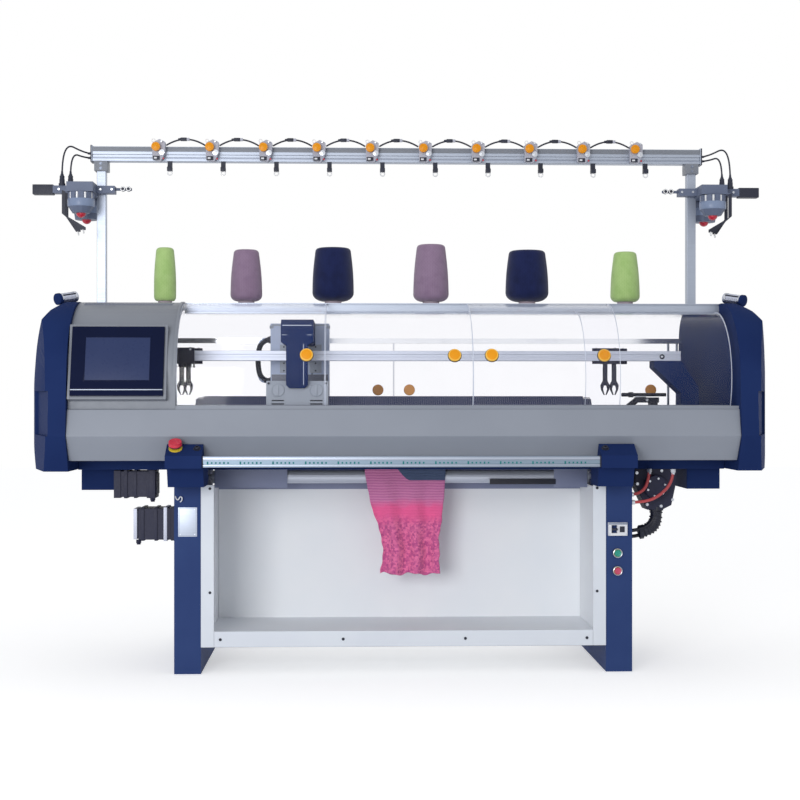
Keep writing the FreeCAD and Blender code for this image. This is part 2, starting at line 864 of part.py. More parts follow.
def carriage_front():
    """The front cam box with its two lock bosses and vent slots."""
    depth = m.carriage_front_depth
    top = bed_crest + m.cam_box_rise
    body = pad("YZ", cam_box(depth, top), -m.carriage_left, carriage_right)
    face = front_lip - tunnel - depth
    bosses, slots = [], []
    for side in (-1, 1):
        across = carriage_middle + side * 62
        bosses.append(facet_rod((across, face + 2, top - 30), "-Y", 21, 4, 16))
        for level in (top - 66, top - 77):
            slots.append(box((across - 20, across + 20), (face - 1, face + 4), (level, level + 4)))
    return cut(fused(body, *bosses), *slots)


name_node("carriage_front", carriage_front())


def carriage_rear():
    """The rear drive box, with the conduit that loops out of its left side."""
    outline = across_throat(cam_box(m.carriage_rear_depth, carriage_top))
    body = pad("YZ", outline, -m.carriage_left, carriage_right)
    left, out = -m.carriage_left, -m.carriage_left - 48
    row, high, low = rear_lip + tunnel + 44, carriage_top - 54, bed_crest + 52
    groove = box((carriage_right - 60, carriage_right - 56), (row - 80, row - 34),
                 (bed_crest + 60, carriage_top + 1))
    conduit = tube("carriage_conduit", [
        (left, row, high), (out + 12, row, high), (out, row, (high + low) / 2), (out + 12, row, low),
        (left, row, low)], 8)
    return together(cut(body, groove), conduit)


name_node("carriage_rear", carriage_rear())


def carriage_bridge():
    """The arched cover that joins the carriage halves over the rails."""
    foot, stem_foot = bed_crest + m.bridge_rise, bed_crest + m.stem_rise
    face, back = front_lip - tunnel - m.carriage_front_depth, rear_lip + tunnel
    arch = [
        (-m.bridge_front, stem_foot), (face, stem_foot), (face, foot), (back, foot),
        (back, carriage_top), (-m.bridge_front, carriage_top, 34),
    ]
    wide, narrow, mid = m.bridge_width / 2, m.stem_width / 2, carriage_middle
    front_view = [
        (mid - narrow, stem_foot + 10), (mid - narrow + 10, stem_foot), (mid + narrow - 10, stem_foot),
        (mid + narrow, stem_foot + 10), (mid + narrow, foot - 6), (mid + wide, foot + 4),
        (mid + wide, carriage_top + 1), (mid - wide, carriage_top + 1), (mid - wide, foot + 4),
        (mid - narrow, foot - 6),
    ]
    return common(pad("YZ", arch, mid - wide, mid + wide),
                  pad("XZ", front_view, -m.bridge_front - 1, back + 1))


name_node("carriage_bridge", carriage_bridge())

# ---------------------------------------------------------------- legs and controls

leg_foot_rise, leg_waist = 60, 96
leg_outline = [
    (-m.leg_front, 0), (m.reach_half, 0), (m.reach_half, leg_foot_rise, 20), (150, leg_waist, 150),
    (70, leg_shoulder * 0.62, 200), (130, m.girder_foot), (shelf_edge - 10, m.girder_foot),
    (shelf_edge - 10, leg_shoulder), (-m.leg_front, leg_shoulder),
]
roller_axis = (-m.roller_back, m.girder_foot - m.roller_drop)
journal_depth = 18


def leg(side):
    """A cast leg with a long rear foot and a socket for the take-down roller."""
    body = pad("YZ", leg_outline, *sided_pair(side, leg_inner, m.leg_outer))
    socket = rod((side * leg_inner - side, *roller_axis), "+X" if side > 0 else "-X",
                 m.roller_journal + m.pivot_fit, journal_depth + 1)
    return cut(body, socket)


name_node("left_leg", leg(-1))
name_node("right_leg", leg(1))

# Push buttons slide in bezels that stand on the leg front.
button_across, button_sides, bezel_height, button_rest = m.leg_outer - 48, 16, 8, 4.4


def bezel(level):
    return facet_ring((button_across, -m.leg_front, level), "-Y", m.button_radius + m.fit_gap,
                      m.button_bezel, bezel_height, button_sides)


def push_button(level):
    return facet_rod((button_across, -m.leg_front - button_rest, level), "-Y", m.button_radius, 8, button_sides)


name_node("start_button", push_button(m.start_level))
name_node("stop_button", push_button(m.stop_level))

# The circuit breaker stands on the right leg, with one lever across both of its poles.
breaker_across, breaker_depth, lever_pin = m.leg_outer - 49, 14, 1.5
lever_row = -m.leg_front - 7
slot_low, slot_high = breaker_across - 20, breaker_across - 2


def breaker():
    """The breaker body with an open slot for the lever and a bore for its pin."""
    face, level = -m.leg_front, m.breaker_level
    body = box((breaker_across - 30, breaker_across + 31), (face - breaker_depth, face),
               (level - 21, level + 21))
    slot = box((slot_low, slot_high), (face - breaker_depth - 1, face), (level - 13, level + 13))
    bore = rod((slot_low - 5, lever_row, level), "+X", lever_pin + m.pivot_fit, 28)
    return cut(body, slot, bore)


def toggle():
    low, high = slot_low + m.fit_gap, slot_high - m.fit_gap
    lever = box((low, high), (lever_row - 17, lever_row + 3), (m.breaker_level - 3, m.breaker_level + 3))
    return fused(lever, rod((slot_low - 4.5, lever_row, m.breaker_level), "+X", lever_pin, 27))


name_node("breaker_box", breaker())
name_node("breaker_toggle", toggle())

# Brackets on the leg fronts carry the operating bar on two pivot pins.
bracket_slope, bracket_nose, bracket_top = 34, 41, panel_bottom + 53
bracket_foot = leg_shoulder - m.bracket_drop
bracket_outline = [
    (-m.leg_front, bracket_foot), (-m.leg_front, leg_shoulder), (-m.panel_tuck - 3, leg_shoulder),
    (-m.panel_tuck - bracket_nose, bracket_top), (-m.reach_half, bracket_top - bracket_slope),
    (-m.reach_half, panel_bottom - 20), (-m.panel_tuck - 48, panel_bottom - 20),
    (-m.panel_tuck - 25, bracket_foot),
]
bar_axis = (-m.reach_half + m.bar_inset, leg_shoulder + 8)
pin_length = 20
estop_tilt = math.atan2(bracket_slope, (m.reach_half - m.panel_tuck).value - bracket_nose)
estop_way = (0, -math.sin(estop_tilt), math.cos(estop_tilt))
estop_stem, estop_across = 7.5, -m.bar_centre - bar_half - m.bracket_width / 2 - 27


def estop_spot(lift):
    """A point on the stop button's axis, at a height over the sloping bracket top."""
    run = 27
    along = -m.panel_tuck - bracket_nose - run * math.cos(estop_tilt) + estop_way[1] * lift
    up = bracket_top - run * math.sin(estop_tilt) + estop_way[2] * lift
    return (estop_across, along, up)


def bar_bracket(side):
    inner = side * bar_half - m.bar_centre
    low, high = (inner, inner + m.bracket_width) if side > 0 else (inner - m.bracket_width, inner)
    body = pad("YZ", bracket_outline, low, high)
    holes = [rod((inner - side, *bar_axis), "+X" if side > 0 else "-X", m.pivot_radius + m.pivot_fit,
                 pin_length + 2)]
    if side < 0:
        holes.append(facet_rod(estop_spot(-22), estop_way, estop_stem + m.fit_gap, 40, 8))
    return cut(body, *holes)


name_node("bar_brackets", together(bar_bracket(-1), bar_bracket(1)))


def operating_bar():
    """A grooved aluminium start and stop bar with a pin at each end."""
    back, up = m.bar_half_depth, m.bar_half_height
    y, z = bar_axis
    outline = [
        (y - back + 2, z - up), (y + back - 2, z - up), (y + back, z - up + 2), (y + back, z + up - 2),
        (y + back - 2, z + up), (y - back + 2, z + up), (y - back, z + up - 2), (y - back, z + 10),
        (y - back + 3, z + 10), (y - back + 3, z + 6), (y - back, z + 6), (y - back, z - 6),
        (y - back + 3, z - 6), (y - back + 3, z - 10), (y - back, z - 10), (y - back, z - up + 2),
    ]
    low, high = -m.bar_centre - bar_half + 0.5, -m.bar_centre + bar_half - 0.5
    pins = rod((low - pin_length, y, z), "+X", m.pivot_radius, high - low + 2 * pin_length)
    return fused(pad("YZ", outline, low, high), pins)


name_node("operating_bar", operating_bar())
estop_collar = facet_ring(estop_spot(0), estop_way, estop_stem + m.fit_gap, m.estop_head_radius + 1, 5, 16)
name_node("button_collars", together(estop_collar, bezel(m.start_level), bezel(m.stop_level)))
name_node("estop_head", fused(
    facet_rod(estop_spot(-16), estop_way, estop_stem, 30, 8),
    facet_rod(estop_spot(12), estop_way, m.estop_head_radius, 14, 20)))

# ---------------------------------------------------------------- fabric tray and take-down

lip_half = tray_half - m.tray_flange
tray_face = -m.tray_front + m.tray_gauge
tray_lip = (m.tray_floor - m.tray_lip_drop, m.tray_floor + m.tray_lip_rise)
tray_sheet = [
    (tray_face, m.tray_floor), (m.tray_back, m.tray_floor),
    (m.tray_back, m.tray_floor + m.tray_back_height),
    (m.tray_back + m.tray_gauge, m.tray_floor + m.tray_back_height),
    (m.tray_back + m.tray_gauge, m.tray_floor - m.tray_gauge), (tray_face, m.tray_floor - m.tray_gauge),
]
name_node("fabric_tray", fused(
    pad("YZ", tray_sheet, -tray_half + m.tray_gauge, tray_half - m.tray_gauge),
    box((-lip_half, lip_half), (-m.tray_front, tray_face), tray_lip)))


def tray_side(side):
    wall = box(sided_pair(side, tray_half - m.tray_gauge, tray_half),
               (tray_face, m.tray_back + m.tray_gauge), (tray_lip[0], m.girder_foot - 60))
    flange = box(sided_pair(side, lip_half, leg_inner), (-m.tray_front, tray_face),
                 (tray_lip[0], bracket_foot - m.seat_gap))
    return fused(wall, flange)


name_node("tray_sides", together(tray_side(-1), tray_side(1)))


def takedown_roller():
    """The faceted take-down roller between the legs, on round journals."""
    half = leg_inner - 12
    body = facet_rod((-half, *roller_axis), "+X", m.roller_radius, half * 2, 20)
    axle = rod((-leg_inner - journal_depth + 1, *roller_axis), "+X", m.roller_journal,
               (leg_inner + journal_depth - 1) * 2)
    return fused(body, axle)


name_node("takedown_roller", takedown_roller())


def square_motor(start, sign, face, length, bell):
    """A square servo motor: a flange, a body and a smaller rear cap."""
    x, y, z = start
    pieces = []
    for first, last, half in ((0, 22, face / 2 + 3), (22, length, face / 2),
                              (length, length + bell, face / 2 - 8)):
        ends = (x + sign * first, x + sign * last)
        pieces.append(box(ends if sign > 0 else (ends[1], ends[0]), (y - half, y + half), (z - half, z + half)))
    return fused(*pieces)


takedown_motor = square_motor((-m.leg_outer, -150, m.girder_foot - 179), -1, 102, 128, 14)
carriage_motor = square_motor((-block_inner, girder_inner - 70, m.girder_foot - 48), 1, 84, 118, 20)
name_node("drive_motors", together(takedown_motor, carriage_motor))

gearbox_in, gearbox_out = m.leg_outer + 25, m.leg_outer + 158
gearbox_foot = m.girder_foot - 135
gearbox_plate = [
    (gearbox_in, m.girder_foot), (gearbox_in, gearbox_foot + 85), (gearbox_in + 18, gearbox_foot + 45),
    (gearbox_in + 40, gearbox_foot), (gearbox_in + 90, gearbox_foot), (gearbox_in + 120, gearbox_foot + 15),
    (gearbox_out, gearbox_foot + 75), (gearbox_out, m.girder_foot),
]
name_node("racking_drive", fused(
    pad("XZ", gearbox_plate, girder_outer - 40, girder_outer + 50),
    facet_rod((gearbox_in + 66, girder_outer - 62, gearbox_foot + 75), "+Y", 40, 24, 16)))

# Two air hoses and two leads run from under the bed to the outside of the right leg.
hose_row = girder_outer - 74
long_row, upper_row, lower_row = hose_row - 26, girder_outer - 30, girder_outer - 6
name_node("gearbox_hoses", together(
    tube("hose_short", [(gearbox_in + 40, hose_row, m.girder_foot), (gearbox_in + 38, hose_row, m.girder_foot - 45),
                        (gearbox_in + 8, hose_row - 4, m.girder_foot - 82),
                        (m.leg_outer, hose_row - 4, m.girder_foot - 82)], 5),
    tube("hose_long", [(gearbox_in + 112, long_row, m.girder_foot), (gearbox_in + 112, long_row, m.girder_foot - 42),
                       (gearbox_in + 60, long_row, m.girder_foot - 92),
                       (gearbox_in + 10, long_row, m.girder_foot - 106),
                       (m.leg_outer, long_row, m.girder_foot - 106)], 5)))
name_node("gearbox_leads", together(
    tube("lead_upper", [(gearbox_in + 68, upper_row, gearbox_foot), (gearbox_in + 68, upper_row, gearbox_foot - 36),
                        (gearbox_in + 20, upper_row, gearbox_foot - 69),
                        (m.leg_outer, upper_row, gearbox_foot - 69)], 6),
    tube("lead_lower", [(gearbox_in + 80, lower_row, gearbox_foot), (gearbox_in + 80, lower_row, gearbox_foot - 50),
                        (gearbox_in + 26, lower_row, gearbox_foot - 91),
                        (m.leg_outer, lower_row, gearbox_foot - 91)], 6)))

# ---------------------------------------------------------------- yarn packages

package_sides, tube_show = 16, 24


def yarn_package(across, radius_foot, radius_top, tall, tube_radius):
    """A wound cone with sloping shoulders, on its cardboard tube."""
    foot = table_top.value
    steps = [
        (tube_radius, 0), (tube_radius, tube_show), (radius_foot - 6, tube_show),
        (radius_foot, tube_show + 8), (radius_top, tube_show + tall - 14),
        (max(radius_top - 16, tube_radius + 2), tube_show + tall),
    ]
    cone = skin([ring_of([radius] * package_sides, level) for radius, level in steps])
    return put(shaped("package", cone), (across, m.cone_row, foot))


name_node("green_packages", together(yarn_package(-815, 38, 31, 185, 24), yarn_package(789, 51, 40, 175, 27)))
name_node("mauve_packages", together(yarn_package(-534, 55, 44, 178, 28), yarn_package(108, 62, 50, 198, 29)))
name_node("navy_packages", together(yarn_package(-233, 72, 62, 185, 29), yarn_package(444, 75, 64, 178, 29)))

# ---------------------------------------------------------------- overhead beam

beam_front = m.beam_row - m.beam_depth / 2
beam_back = m.beam_row + m.beam_depth / 2


def overhead_beam():
    """A drawn beam whose upper part stands back from a grooved lower part."""
    outline = [
        (beam_front, beam_foot), (beam_back, beam_foot), (beam_back, beam_top),
        (beam_front + 6, beam_top), (beam_front + 6, beam_top - 18), (beam_front, beam_top - 18),
        (beam_front, beam_foot + 24), (beam_front + 3, beam_foot + 24),
        (beam_front + 3, beam_foot + 14), (beam_front, beam_foot + 14),
    ]
    ends = [box((x, x + 6), (beam_front - 3, beam_back + 3), (beam_foot - 3, beam_top + 3))
            for x in (-beam_half - 6, beam_half)]
    return together(pad("YZ", outline, -beam_half, beam_half), *ends)


name_node("overhead_beam", overhead_beam())


def post(side):
    """A square post on the end cover, with a thin foot plate."""
    half, x = m.post_width / 2, side * post_place
    pieces = [box((x - half - lip, x + half + lip), (m.beam_row - half - lip, m.beam_row + half + lip), levels)
              for lip, levels in ((0, (top_line, beam_foot)), (4, (top_line, top_line + 8)))]
    return fused(*pieces)


name_node("posts", together(post(-1), post(1)))

tensioner_count, tensioner_pitch, first_tensioner = 10, 190.4, -858
tensioner_spots = [first_tensioner + tensioner_pitch * i for i in range(tensioner_count)]
plate_front, plate_left, plate_right = beam_front - 26, -21, 25


def tensioner(across):
    """One tension plate clamped on the front of the beam, with its sensor box below."""
    outline = [
        (across + plate_left, beam_foot + 4), (across + 10, beam_foot - 4), (across + plate_right, beam_foot + 26),
        (across + plate_right, beam_top + 12), (across + 4, beam_top + 22), (across + plate_left, beam_top + 8),
    ]
    return pad("XZ", outline, plate_front, beam_front)


def tensioner_knob(across):
    return facet_rod((across - 6, plate_front, beam_top - 8), "-Y", 14, 22, 12)


def eyelet_arm(across):
    """A drop arm under the beam that holds one yarn eyelet and its sensor."""
    outline = [
        (beam_front - 4, beam_foot), (beam_front - 4, beam_foot - 20), (beam_front - 14, beam_foot - 20),
        (beam_front - 14, beam_foot - 34), (beam_front + 12, beam_foot - 34), (beam_front + 12, beam_foot),
    ]
    return pad("YZ", outline, across + 31, across + 47)


name_node("tensioners", together(*(tensioner(x) for x in tensioner_spots)))
name_node("tensioner_knobs", together(*(tensioner_knob(x) for x in tensioner_spots)))
name_node("yarn_eyelets", together(*(eyelet_arm(x) for x in tensioner_spots)))

# ---------------------------------------------------------------- storage feeders

feeder_top = beam_foot - m.feeder_drop
feeder_foot = feeder_top - m.feeder_thick
post_face = m.beam_row - m.post_width / 2
front_drum = (post_place + 56, post_face - 88)
rear_drum = (post_place + 70, post_face + 102)
plug_row, plug_height, disc_radius = beam_front - 34, 30, 9
near_plug, far_plug = post_place + 102, post_place + 132
stem_drop, bowl_drop = 46, 74


def feeder_arm(side, shift):
    """A bent guide arm that reaches round the drum to an eyelet below it."""
    axis, row = front_drum[0], front_drum[1] + shift * 2
    out = axis + m.drum_radius
    arm = [
        (out - 6, feeder_foot + 4), (out + 16, feeder_foot + 4), (out + 16, feeder_foot - bowl_drop - 4),
        (axis + 8 + shift, feeder_foot - 136), (axis + shift - 8, feeder_foot - 136),
        (axis + shift - 8, feeder_foot - 126), (out + 4, feeder_foot - bowl_drop - 10),
        (out + 4, feeder_foot), (out - 6, feeder_foot),
    ]
    return pad("XZ", sided(arm, side), row - 2, row + 2)


def storage_feeder(side):
    """A feeder body on the post: arm, drum heads, guide arms, discs and plugs."""
    post_edge, nose = post_place + m.post_width / 2, m.feeder_reach - 72
    (x, y), rear = front_drum, rear_drum
    way, disc_row = "-X" if side > 0 else "+X", post_face - 22
    pieces = [
        box(sided_pair(side, post_place - 54, nose), (post_face - 44, post_face), (feeder_foot + 4, feeder_top - 4)),
        box(sided_pair(side, nose, m.feeder_reach), (post_face - 40, post_face - 4), (feeder_foot, feeder_top)),
        box(sided_pair(side, x - m.drum_radius, x + m.drum_radius), (y - 30, post_face), (feeder_foot, feeder_top)),
        box(sided_pair(side, post_edge, rear[0] + 36), (post_face, rear[1] + 30), (feeder_foot, feeder_top)),
        facet_rod((side * (post_place - 54), disc_row, feeder_top - 14), way, 5, 58, 8),
    ]
    pieces += [facet_rod((side * (post_place - spot), disc_row - 4, feeder_top - 14), "-Y", disc_radius, 9, 12)
               for spot in (82, 102)]
    pieces += [facet_rod((side * spot, plug_row, feeder_top - 5), "+Z", 8, plug_height + 5, 8)
               for spot in (near_plug, far_plug)]
    pieces += [feeder_arm(side, shift) for shift in (-13, 15)]
    bores = [rod((side * spot[0], spot[1], feeder_foot - 1), "+Z", m.drum_axle + m.pivot_fit, 16)
             for spot in (front_drum, rear_drum)]
    return cut(fused(*pieces), *bores)


name_node("storage_feeders", together(storage_feeder(-1), storage_feeder(1)))

rib_count = 9


def ribbed_ring():
    """A star outline: one flat rib and one gap, again and again round the drum."""
    outline = []
    for rib in range(rib_count):
        for share, radius in ((-0.28, m.drum_radius), (0.28, m.drum_radius), (0.36, m.drum_radius - 7),
                              (0.64, m.drum_radius - 7)):
            angle = 2 * math.pi * (rib + share) / rib_count
            outline.append((radius * math.cos(angle), radius * math.sin(angle)))
    return outline


def feeder_drum(side, spot, ribbed):
    """A yarn storage drum on its axle under the feeder body, ribbed where it shows."""
    rim = m.drum_radius.value
    low, high = (-bowl_drop, -stem_drop) if ribbed else (-bowl_drop, -2)
    neck = rim - 16 if ribbed else rim - 4
    bowl = skin([ring_of([radius] * 14, level) for radius, level in ((neck, low), (rim, low + 24), (rim, high))])
    axle = rod((0, 0, high - 2), "+Z", m.drum_axle, 16 - high)
    pieces = [shaped("bowl", bowl), axle]
    if ribbed:
        pieces.append(pad("XY", ribbed_ring(), high, -2))
    return put(fused(*pieces), (side * spot[0], spot[1], feeder_foot))


for label, side, spot, ribbed in (
        ("left_front_drum", -1, front_drum, True), ("left_rear_drum", -1, rear_drum, False),
        ("right_front_drum", 1, front_drum, True), ("right_rear_drum", 1, rear_drum, False)):
    name_node(label, feeder_drum(side, spot, ribbed))

# ---------------------------------------------------------------- signal leads

lead_radius, lead_gap = 3, 2.2


def chain_lead(index):
    """One arc of the signal lead from a tensioner to the next."""
    low = tensioner_spots[index] + plate_right + lead_gap
    high = tensioner_spots[index + 1] + plate_left - lead_gap
    row, level = beam_front - 13, beam_top + 1
    return tube(f"chain_lead_{index + 1}", [
        (low, row, level), ((low + high) / 2, row, level + 44), (high, row, level)], lead_radius)


def end_lead(side, far, rise, drop):
    """A lead from the end of the beam to a plug on the storage feeder."""
    end, level = beam_half + 6, beam_foot + drop
    stops = [
        (end, m.beam_row, level), (end + 22, m.beam_row, level), (far, plug_row, level + rise),
        (far, plug_row, feeder_top + plug_height),
    ]
    return tube("end_lead", [(side * x, y, z) for x, y, z in stops], lead_radius)


name_node("sensor_leads", together(
    *(chain_lead(i) for i in range(tensioner_count - 1)),
    *(end_lead(side, *stop) for side in (-1, 1) for stop in ((far_plug, 34, 30), (near_plug, 10, 14)))))

# ---------------------------------------------------------------- knitted fabric

fabric_rows = [  # level, left edge, right edge, fold depth
    (868, -124, 150, 0), (640, -126, 149, 1.5), (535, -107, 142, 6), (394, -62, 124, 11),
    (289, -70, 129, 13),
]
fold_steps = 11


def fabric_ring(level, left, right, depth):
    """One level of the hanging cloth: a folded strip of the cloth's thickness."""
    middle, half = -m.throat_centre.value, m.fabric_thick.value / 2
    front, back = [], []
    for step in range(fold_steps + 1):
        across = left + (right - left) * step / fold_steps
        wave = depth * (math.sin(step * math.pi / 2 + 0.6) - 1)
        front.append(Vector(across, middle - half + wave, level))
        back.append(Vector(across, middle + half + wave, level))
    return front + back[::-1]


fabric_rings = [fabric_ring(*row) for row in reversed(fabric_rows)]
name_node("knitted_panel", shaped("knitted_panel", skin(fabric_rings, flat_quads=False)))

# ---------------------------------------------------------------- check and write

doc.recompute()
for thing in doc.Objects:
    if {"Invalid", "Error"} & set(thing.State):
        raise SystemExit(f"{thing.Name} ({thing.Label}) did not build: {thing.State}")
for label, piece in nodes.items():
    shape = piece.Shape
    if shape.isNull() or not shape.isValid() or not shape.Solids:
        raise SystemExit(f"{label} has no valid solid")
for label, piece in nodes.items():
    piece.Shape.exportStep(f"parts/{label}.step")
print(len(nodes), "nodes written")
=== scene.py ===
import bpy, bmesh, math
from mathutils import Matrix, Vector


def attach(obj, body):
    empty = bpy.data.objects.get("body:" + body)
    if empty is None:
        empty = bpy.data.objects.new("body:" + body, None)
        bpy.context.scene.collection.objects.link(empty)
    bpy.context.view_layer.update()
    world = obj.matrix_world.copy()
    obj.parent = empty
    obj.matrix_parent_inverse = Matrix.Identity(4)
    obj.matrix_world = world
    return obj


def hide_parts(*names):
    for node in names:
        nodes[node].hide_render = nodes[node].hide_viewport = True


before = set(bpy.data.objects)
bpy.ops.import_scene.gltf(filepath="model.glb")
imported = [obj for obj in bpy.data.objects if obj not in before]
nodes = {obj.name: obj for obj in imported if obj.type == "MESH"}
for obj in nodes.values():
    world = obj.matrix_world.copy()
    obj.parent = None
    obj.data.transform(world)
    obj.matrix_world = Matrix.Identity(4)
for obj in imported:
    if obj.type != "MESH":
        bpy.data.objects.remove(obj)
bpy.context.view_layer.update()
scene = bpy.context.scene
mm = 0.001
print("stage: frame loaded,", len(nodes), "nodes")


def linear(hexColour):  # sRGB hex to the linear values that shaders take
    parts = [int(hexColour[i:i + 2], 16) / 255 for i in (1, 3, 5)]
    return [p / 12.92 if p <= 0.04045 else ((p + 0.055) / 1.055) ** 2.4 for p in parts] + [1]


def addNode(tree, kind, settings={}, links={}, ramp=()):
    # inputs go by name or number, other settings by name; ramp holds (position, colour) pairs
    node = tree.nodes.new("ShaderNode" + kind)
    for name, value in settings.items():
        if name in node.inputs:
            node.inputs[name].default_value = value
        else:
            setattr(node, name, value)
    for name, socket in links.items():
        tree.links.new(socket, node.inputs[name])
    for k, (position, colour) in enumerate(ramp):
        node.color_ramp.elements[k].position, node.color_ramp.elements[k].color = position, colour
    return node


def newFinish(name, look):  # a material with its constants set on the shader's own sockets
    finish = bpy.data.materials.new(name)
    finish.use_nodes = True
    tree = finish.node_tree
    shader = tree.nodes["Principled BSDF"]
    shader.inputs["Base Color"].default_value = linear(look["colour"])
    for socket, word in (("Roughness", "roughness"), ("Metallic", "metallic"), ("IOR", "ior"),
                         ("Specular IOR Level", "gloss"), ("Sheen Weight", "sheen")):
        if word in look:
            shader.inputs[socket].default_value = look[word]
    return finish, tree, shader


def dressShader(tree, shader, tone, height, strength, depth, shine=None):
    # colour, relief of a depth in mm and, where it varies, roughness
    bump = addNode(tree, "Bump", {"Strength": strength, "Distance": depth * mm}, {"Height": height})
    tree.links.new(tone, shader.inputs["Base Color"])
    tree.links.new(bump.outputs["Normal"], shader.inputs["Normal"])
    if shine:
        tree.links.new(shine, shader.inputs["Roughness"])


# coated, moulded and enamelled surfaces
coatWords = ("colour", "second", "roughness", "gloss", "grainMm", "grainDepth", "ior")
coats = {
    # name: the words above in their order
    # polyester powder coat on steel: an even satin with a faint orange peel that softens the highlights
    "powderCoatedNavySteel": ("#1D2D5A", "#20315F", 0.6, 0.02, 6, 0.1),
    "powderCoatedLegSteel": ("#2F4171", "#334676", 0.55, 0.05, 6, 0.1),
    "powderCoatedPaleSheet": ("#D9DFE9", "#DDE3EC", 0.5, 0.2, 6, 0.1),
    # the same pale coat painted whiter for the tray's inside faces: painted light against the shade inside it
    "powderCoatPaintedLitInside": ("#F1F5FA", "#F4F7FB", 0.48, 0.35, 5, 0.08),
    "powderCoatedBlackSteel": ("#22243A", "#282A40", 0.5, 0.25, 5, 0.12),
    # stoving enamel on folded sheet: smoother than powder coat, so its creases catch a clear light
    "enamelledGreySheet": ("#8A909C", "#8D939F", 0.4, 0.25, 9, 0.06),
    "enamelledHousing": ("#80858F", "#838892", 0.4, 0.25, 9, 0.06),
    # glossy moulded polycarbonate: a dark mirror-like face
    "polishedNavyPolycarbonate": ("#0A1330", "#0C1534", 0.16, 0.06, 30, 0.03, 1.58),
    "enamelledCarriageSheet": ("#A6AEBA", "#AAB2BE", 0.4, 0.2, 9, 0.06),
    "enamelledBlueGreySheet": ("#B9C6DF", "#BECAE2", 0.4, 0.25, 9, 0.06),
    # the housing enamel darkened: painted shade in the housing's recessed strip and along the foot of the
    # carriage's rear box
    "shadedHousing": ("#6F7484", "#747988", 0.42, 0.35, 9, 0.06),
    # grey-mauve of the guard and roller plates: painted shade, the grey of the shaded tray back
    "enamelledGuard": ("#8088A6", "#858DAA", 0.4, 0.3, 9, 0.06),
    # pad-printed scale: thin matt teal ink on the metal
    "printedTealScale": ("#1F6E70", "#267678", 0.6, 0.05, 1.5, 0.1),
    # display glass with an etched anti-glare face: dark slate, only a broad soft sheen
    "coatedDisplayGlass": ("#2D385C", "#303B5F", 0.3, 0.1, 12, 0.02, 1.52),
    # moulded ABS: a fine spark-eroded grain that dulls every highlight
    "mouldedBlueGreyAbs": ("#7E8DAB", "#8291AE", 0.34, 0.35, 5, 0.04),
    "mouldedGreyAbs": ("#68728A", "#5D6780", 0.52, 0.4, 2.4, 0.16),
    "mouldedPaleAbs": ("#A9ABBA", "#B5B7C4", 0.5, 0.4, 2.4, 0.16),
    "mouldedBlackAbs": ("#1C1F2E", "#262A3B", 0.5, 0.35, 2.4, 0.16),
    "mouldedWhiteAbs": ("#D9DCE4", "#E3E5EB", 0.42, 0.4, 2.4, 0.1),
    "mouldedYellowAbs": ("#E2C53C", "#D8B92F", 0.45, 0.4, 2.4, 0.1),
    "mouldedAmberRim": ("#F4C24E", "#EDB63C", 0.35, 0.5, 4, 0.05),
    # glossy moulded knobs and buttons: clean colour with one soft highlight
    "mouldedOrangeKnob": ("#EB9C0C", "#E59406", 0.36, 0.3, 4, 0.05),
    # the rear covers' knobs: knob plastic painted lighter than the front ones, painted light against the
    # shade they stand in
    "mouldedAmberKnobPaintedLit": ("#FDB266", "#BC7719", 0.34, 0.4, 4, 0.05),
    "mouldedRedButton": ("#CC2B43", "#C0243B", 0.3, 0.5, 4, 0.05),
    "mouldedGreenButton": ("#1B9987", "#168C7B", 0.28, 0.5, 4, 0.04),
    "mouldedRoseButton": ("#C84A6A", "#BC3F5F", 0.28, 0.5, 4, 0.04),
    # glazed alumina ceramic: white and slick where yarn runs over it
    "glazedCeramic": ("#F2F3F5", "#E9EBEF", 0.18, 0.5, 8, 0.02, 1.6),
    # extruded PVC and polyurethane hose: dull skin with lengthwise die marks
    "extrudedRedHose": ("#B8484C", "#A63E43", 0.42, 0.4, 3, 0.1),
    "extrudedBlackCable": ("#1D1F2B", "#272A38", 0.5, 0.35, 3, 0.1),
    # sawn and scraped edge of an acrylic sheet: pale and frosted, it gathers the light of the sheet
    "sawnAcrylicEdge": ("#C3CBDC", "#CFD6E5", 0.4, 0.5, 3, 0.12, 1.49),
    # spiral-wound kraft paper: matt, with faint fibres
    "woundKraftTube": ("#A99BA6", "#B7A9B2", 0.85, 0.2, 3, 0.25),
}


def coatedFinish(name, look):
    finish, tree, shader = newFinish(name, look)
    place = addNode(tree, "TexCoord").outputs["Object"]
    grain = addNode(tree, "TexNoise", {"Scale": 1 / (look["grainMm"] * mm), "Detail": 3.0}, {"Vector": place})
    # slow drift of tone over about 180 mm, as a sprayed or moulded surface has
    drift = addNode(tree, "TexNoise", {"Scale": 1 / (180 * mm), "Detail": 2.0}, {"Vector": place})
    tone = addNode(tree, "ValToRGB", {}, {"Fac": drift.outputs["Fac"]},
                   ((0.35, linear(look["colour"])), (0.65, linear(look["second"]))))
    shine = addNode(tree, "MapRange", {"From Min": 0.3, "From Max": 0.7, "To Min": look["roughness"] - 0.05,
                                       "To Max": look["roughness"] + 0.05}, {"Value": grain.outputs["Fac"]})
    dressShader(tree, shader, tone.outputs["Color"], grain.outputs["Fac"], look["grainDepth"], 0.4,
                shine.outputs["Result"])
    return finish


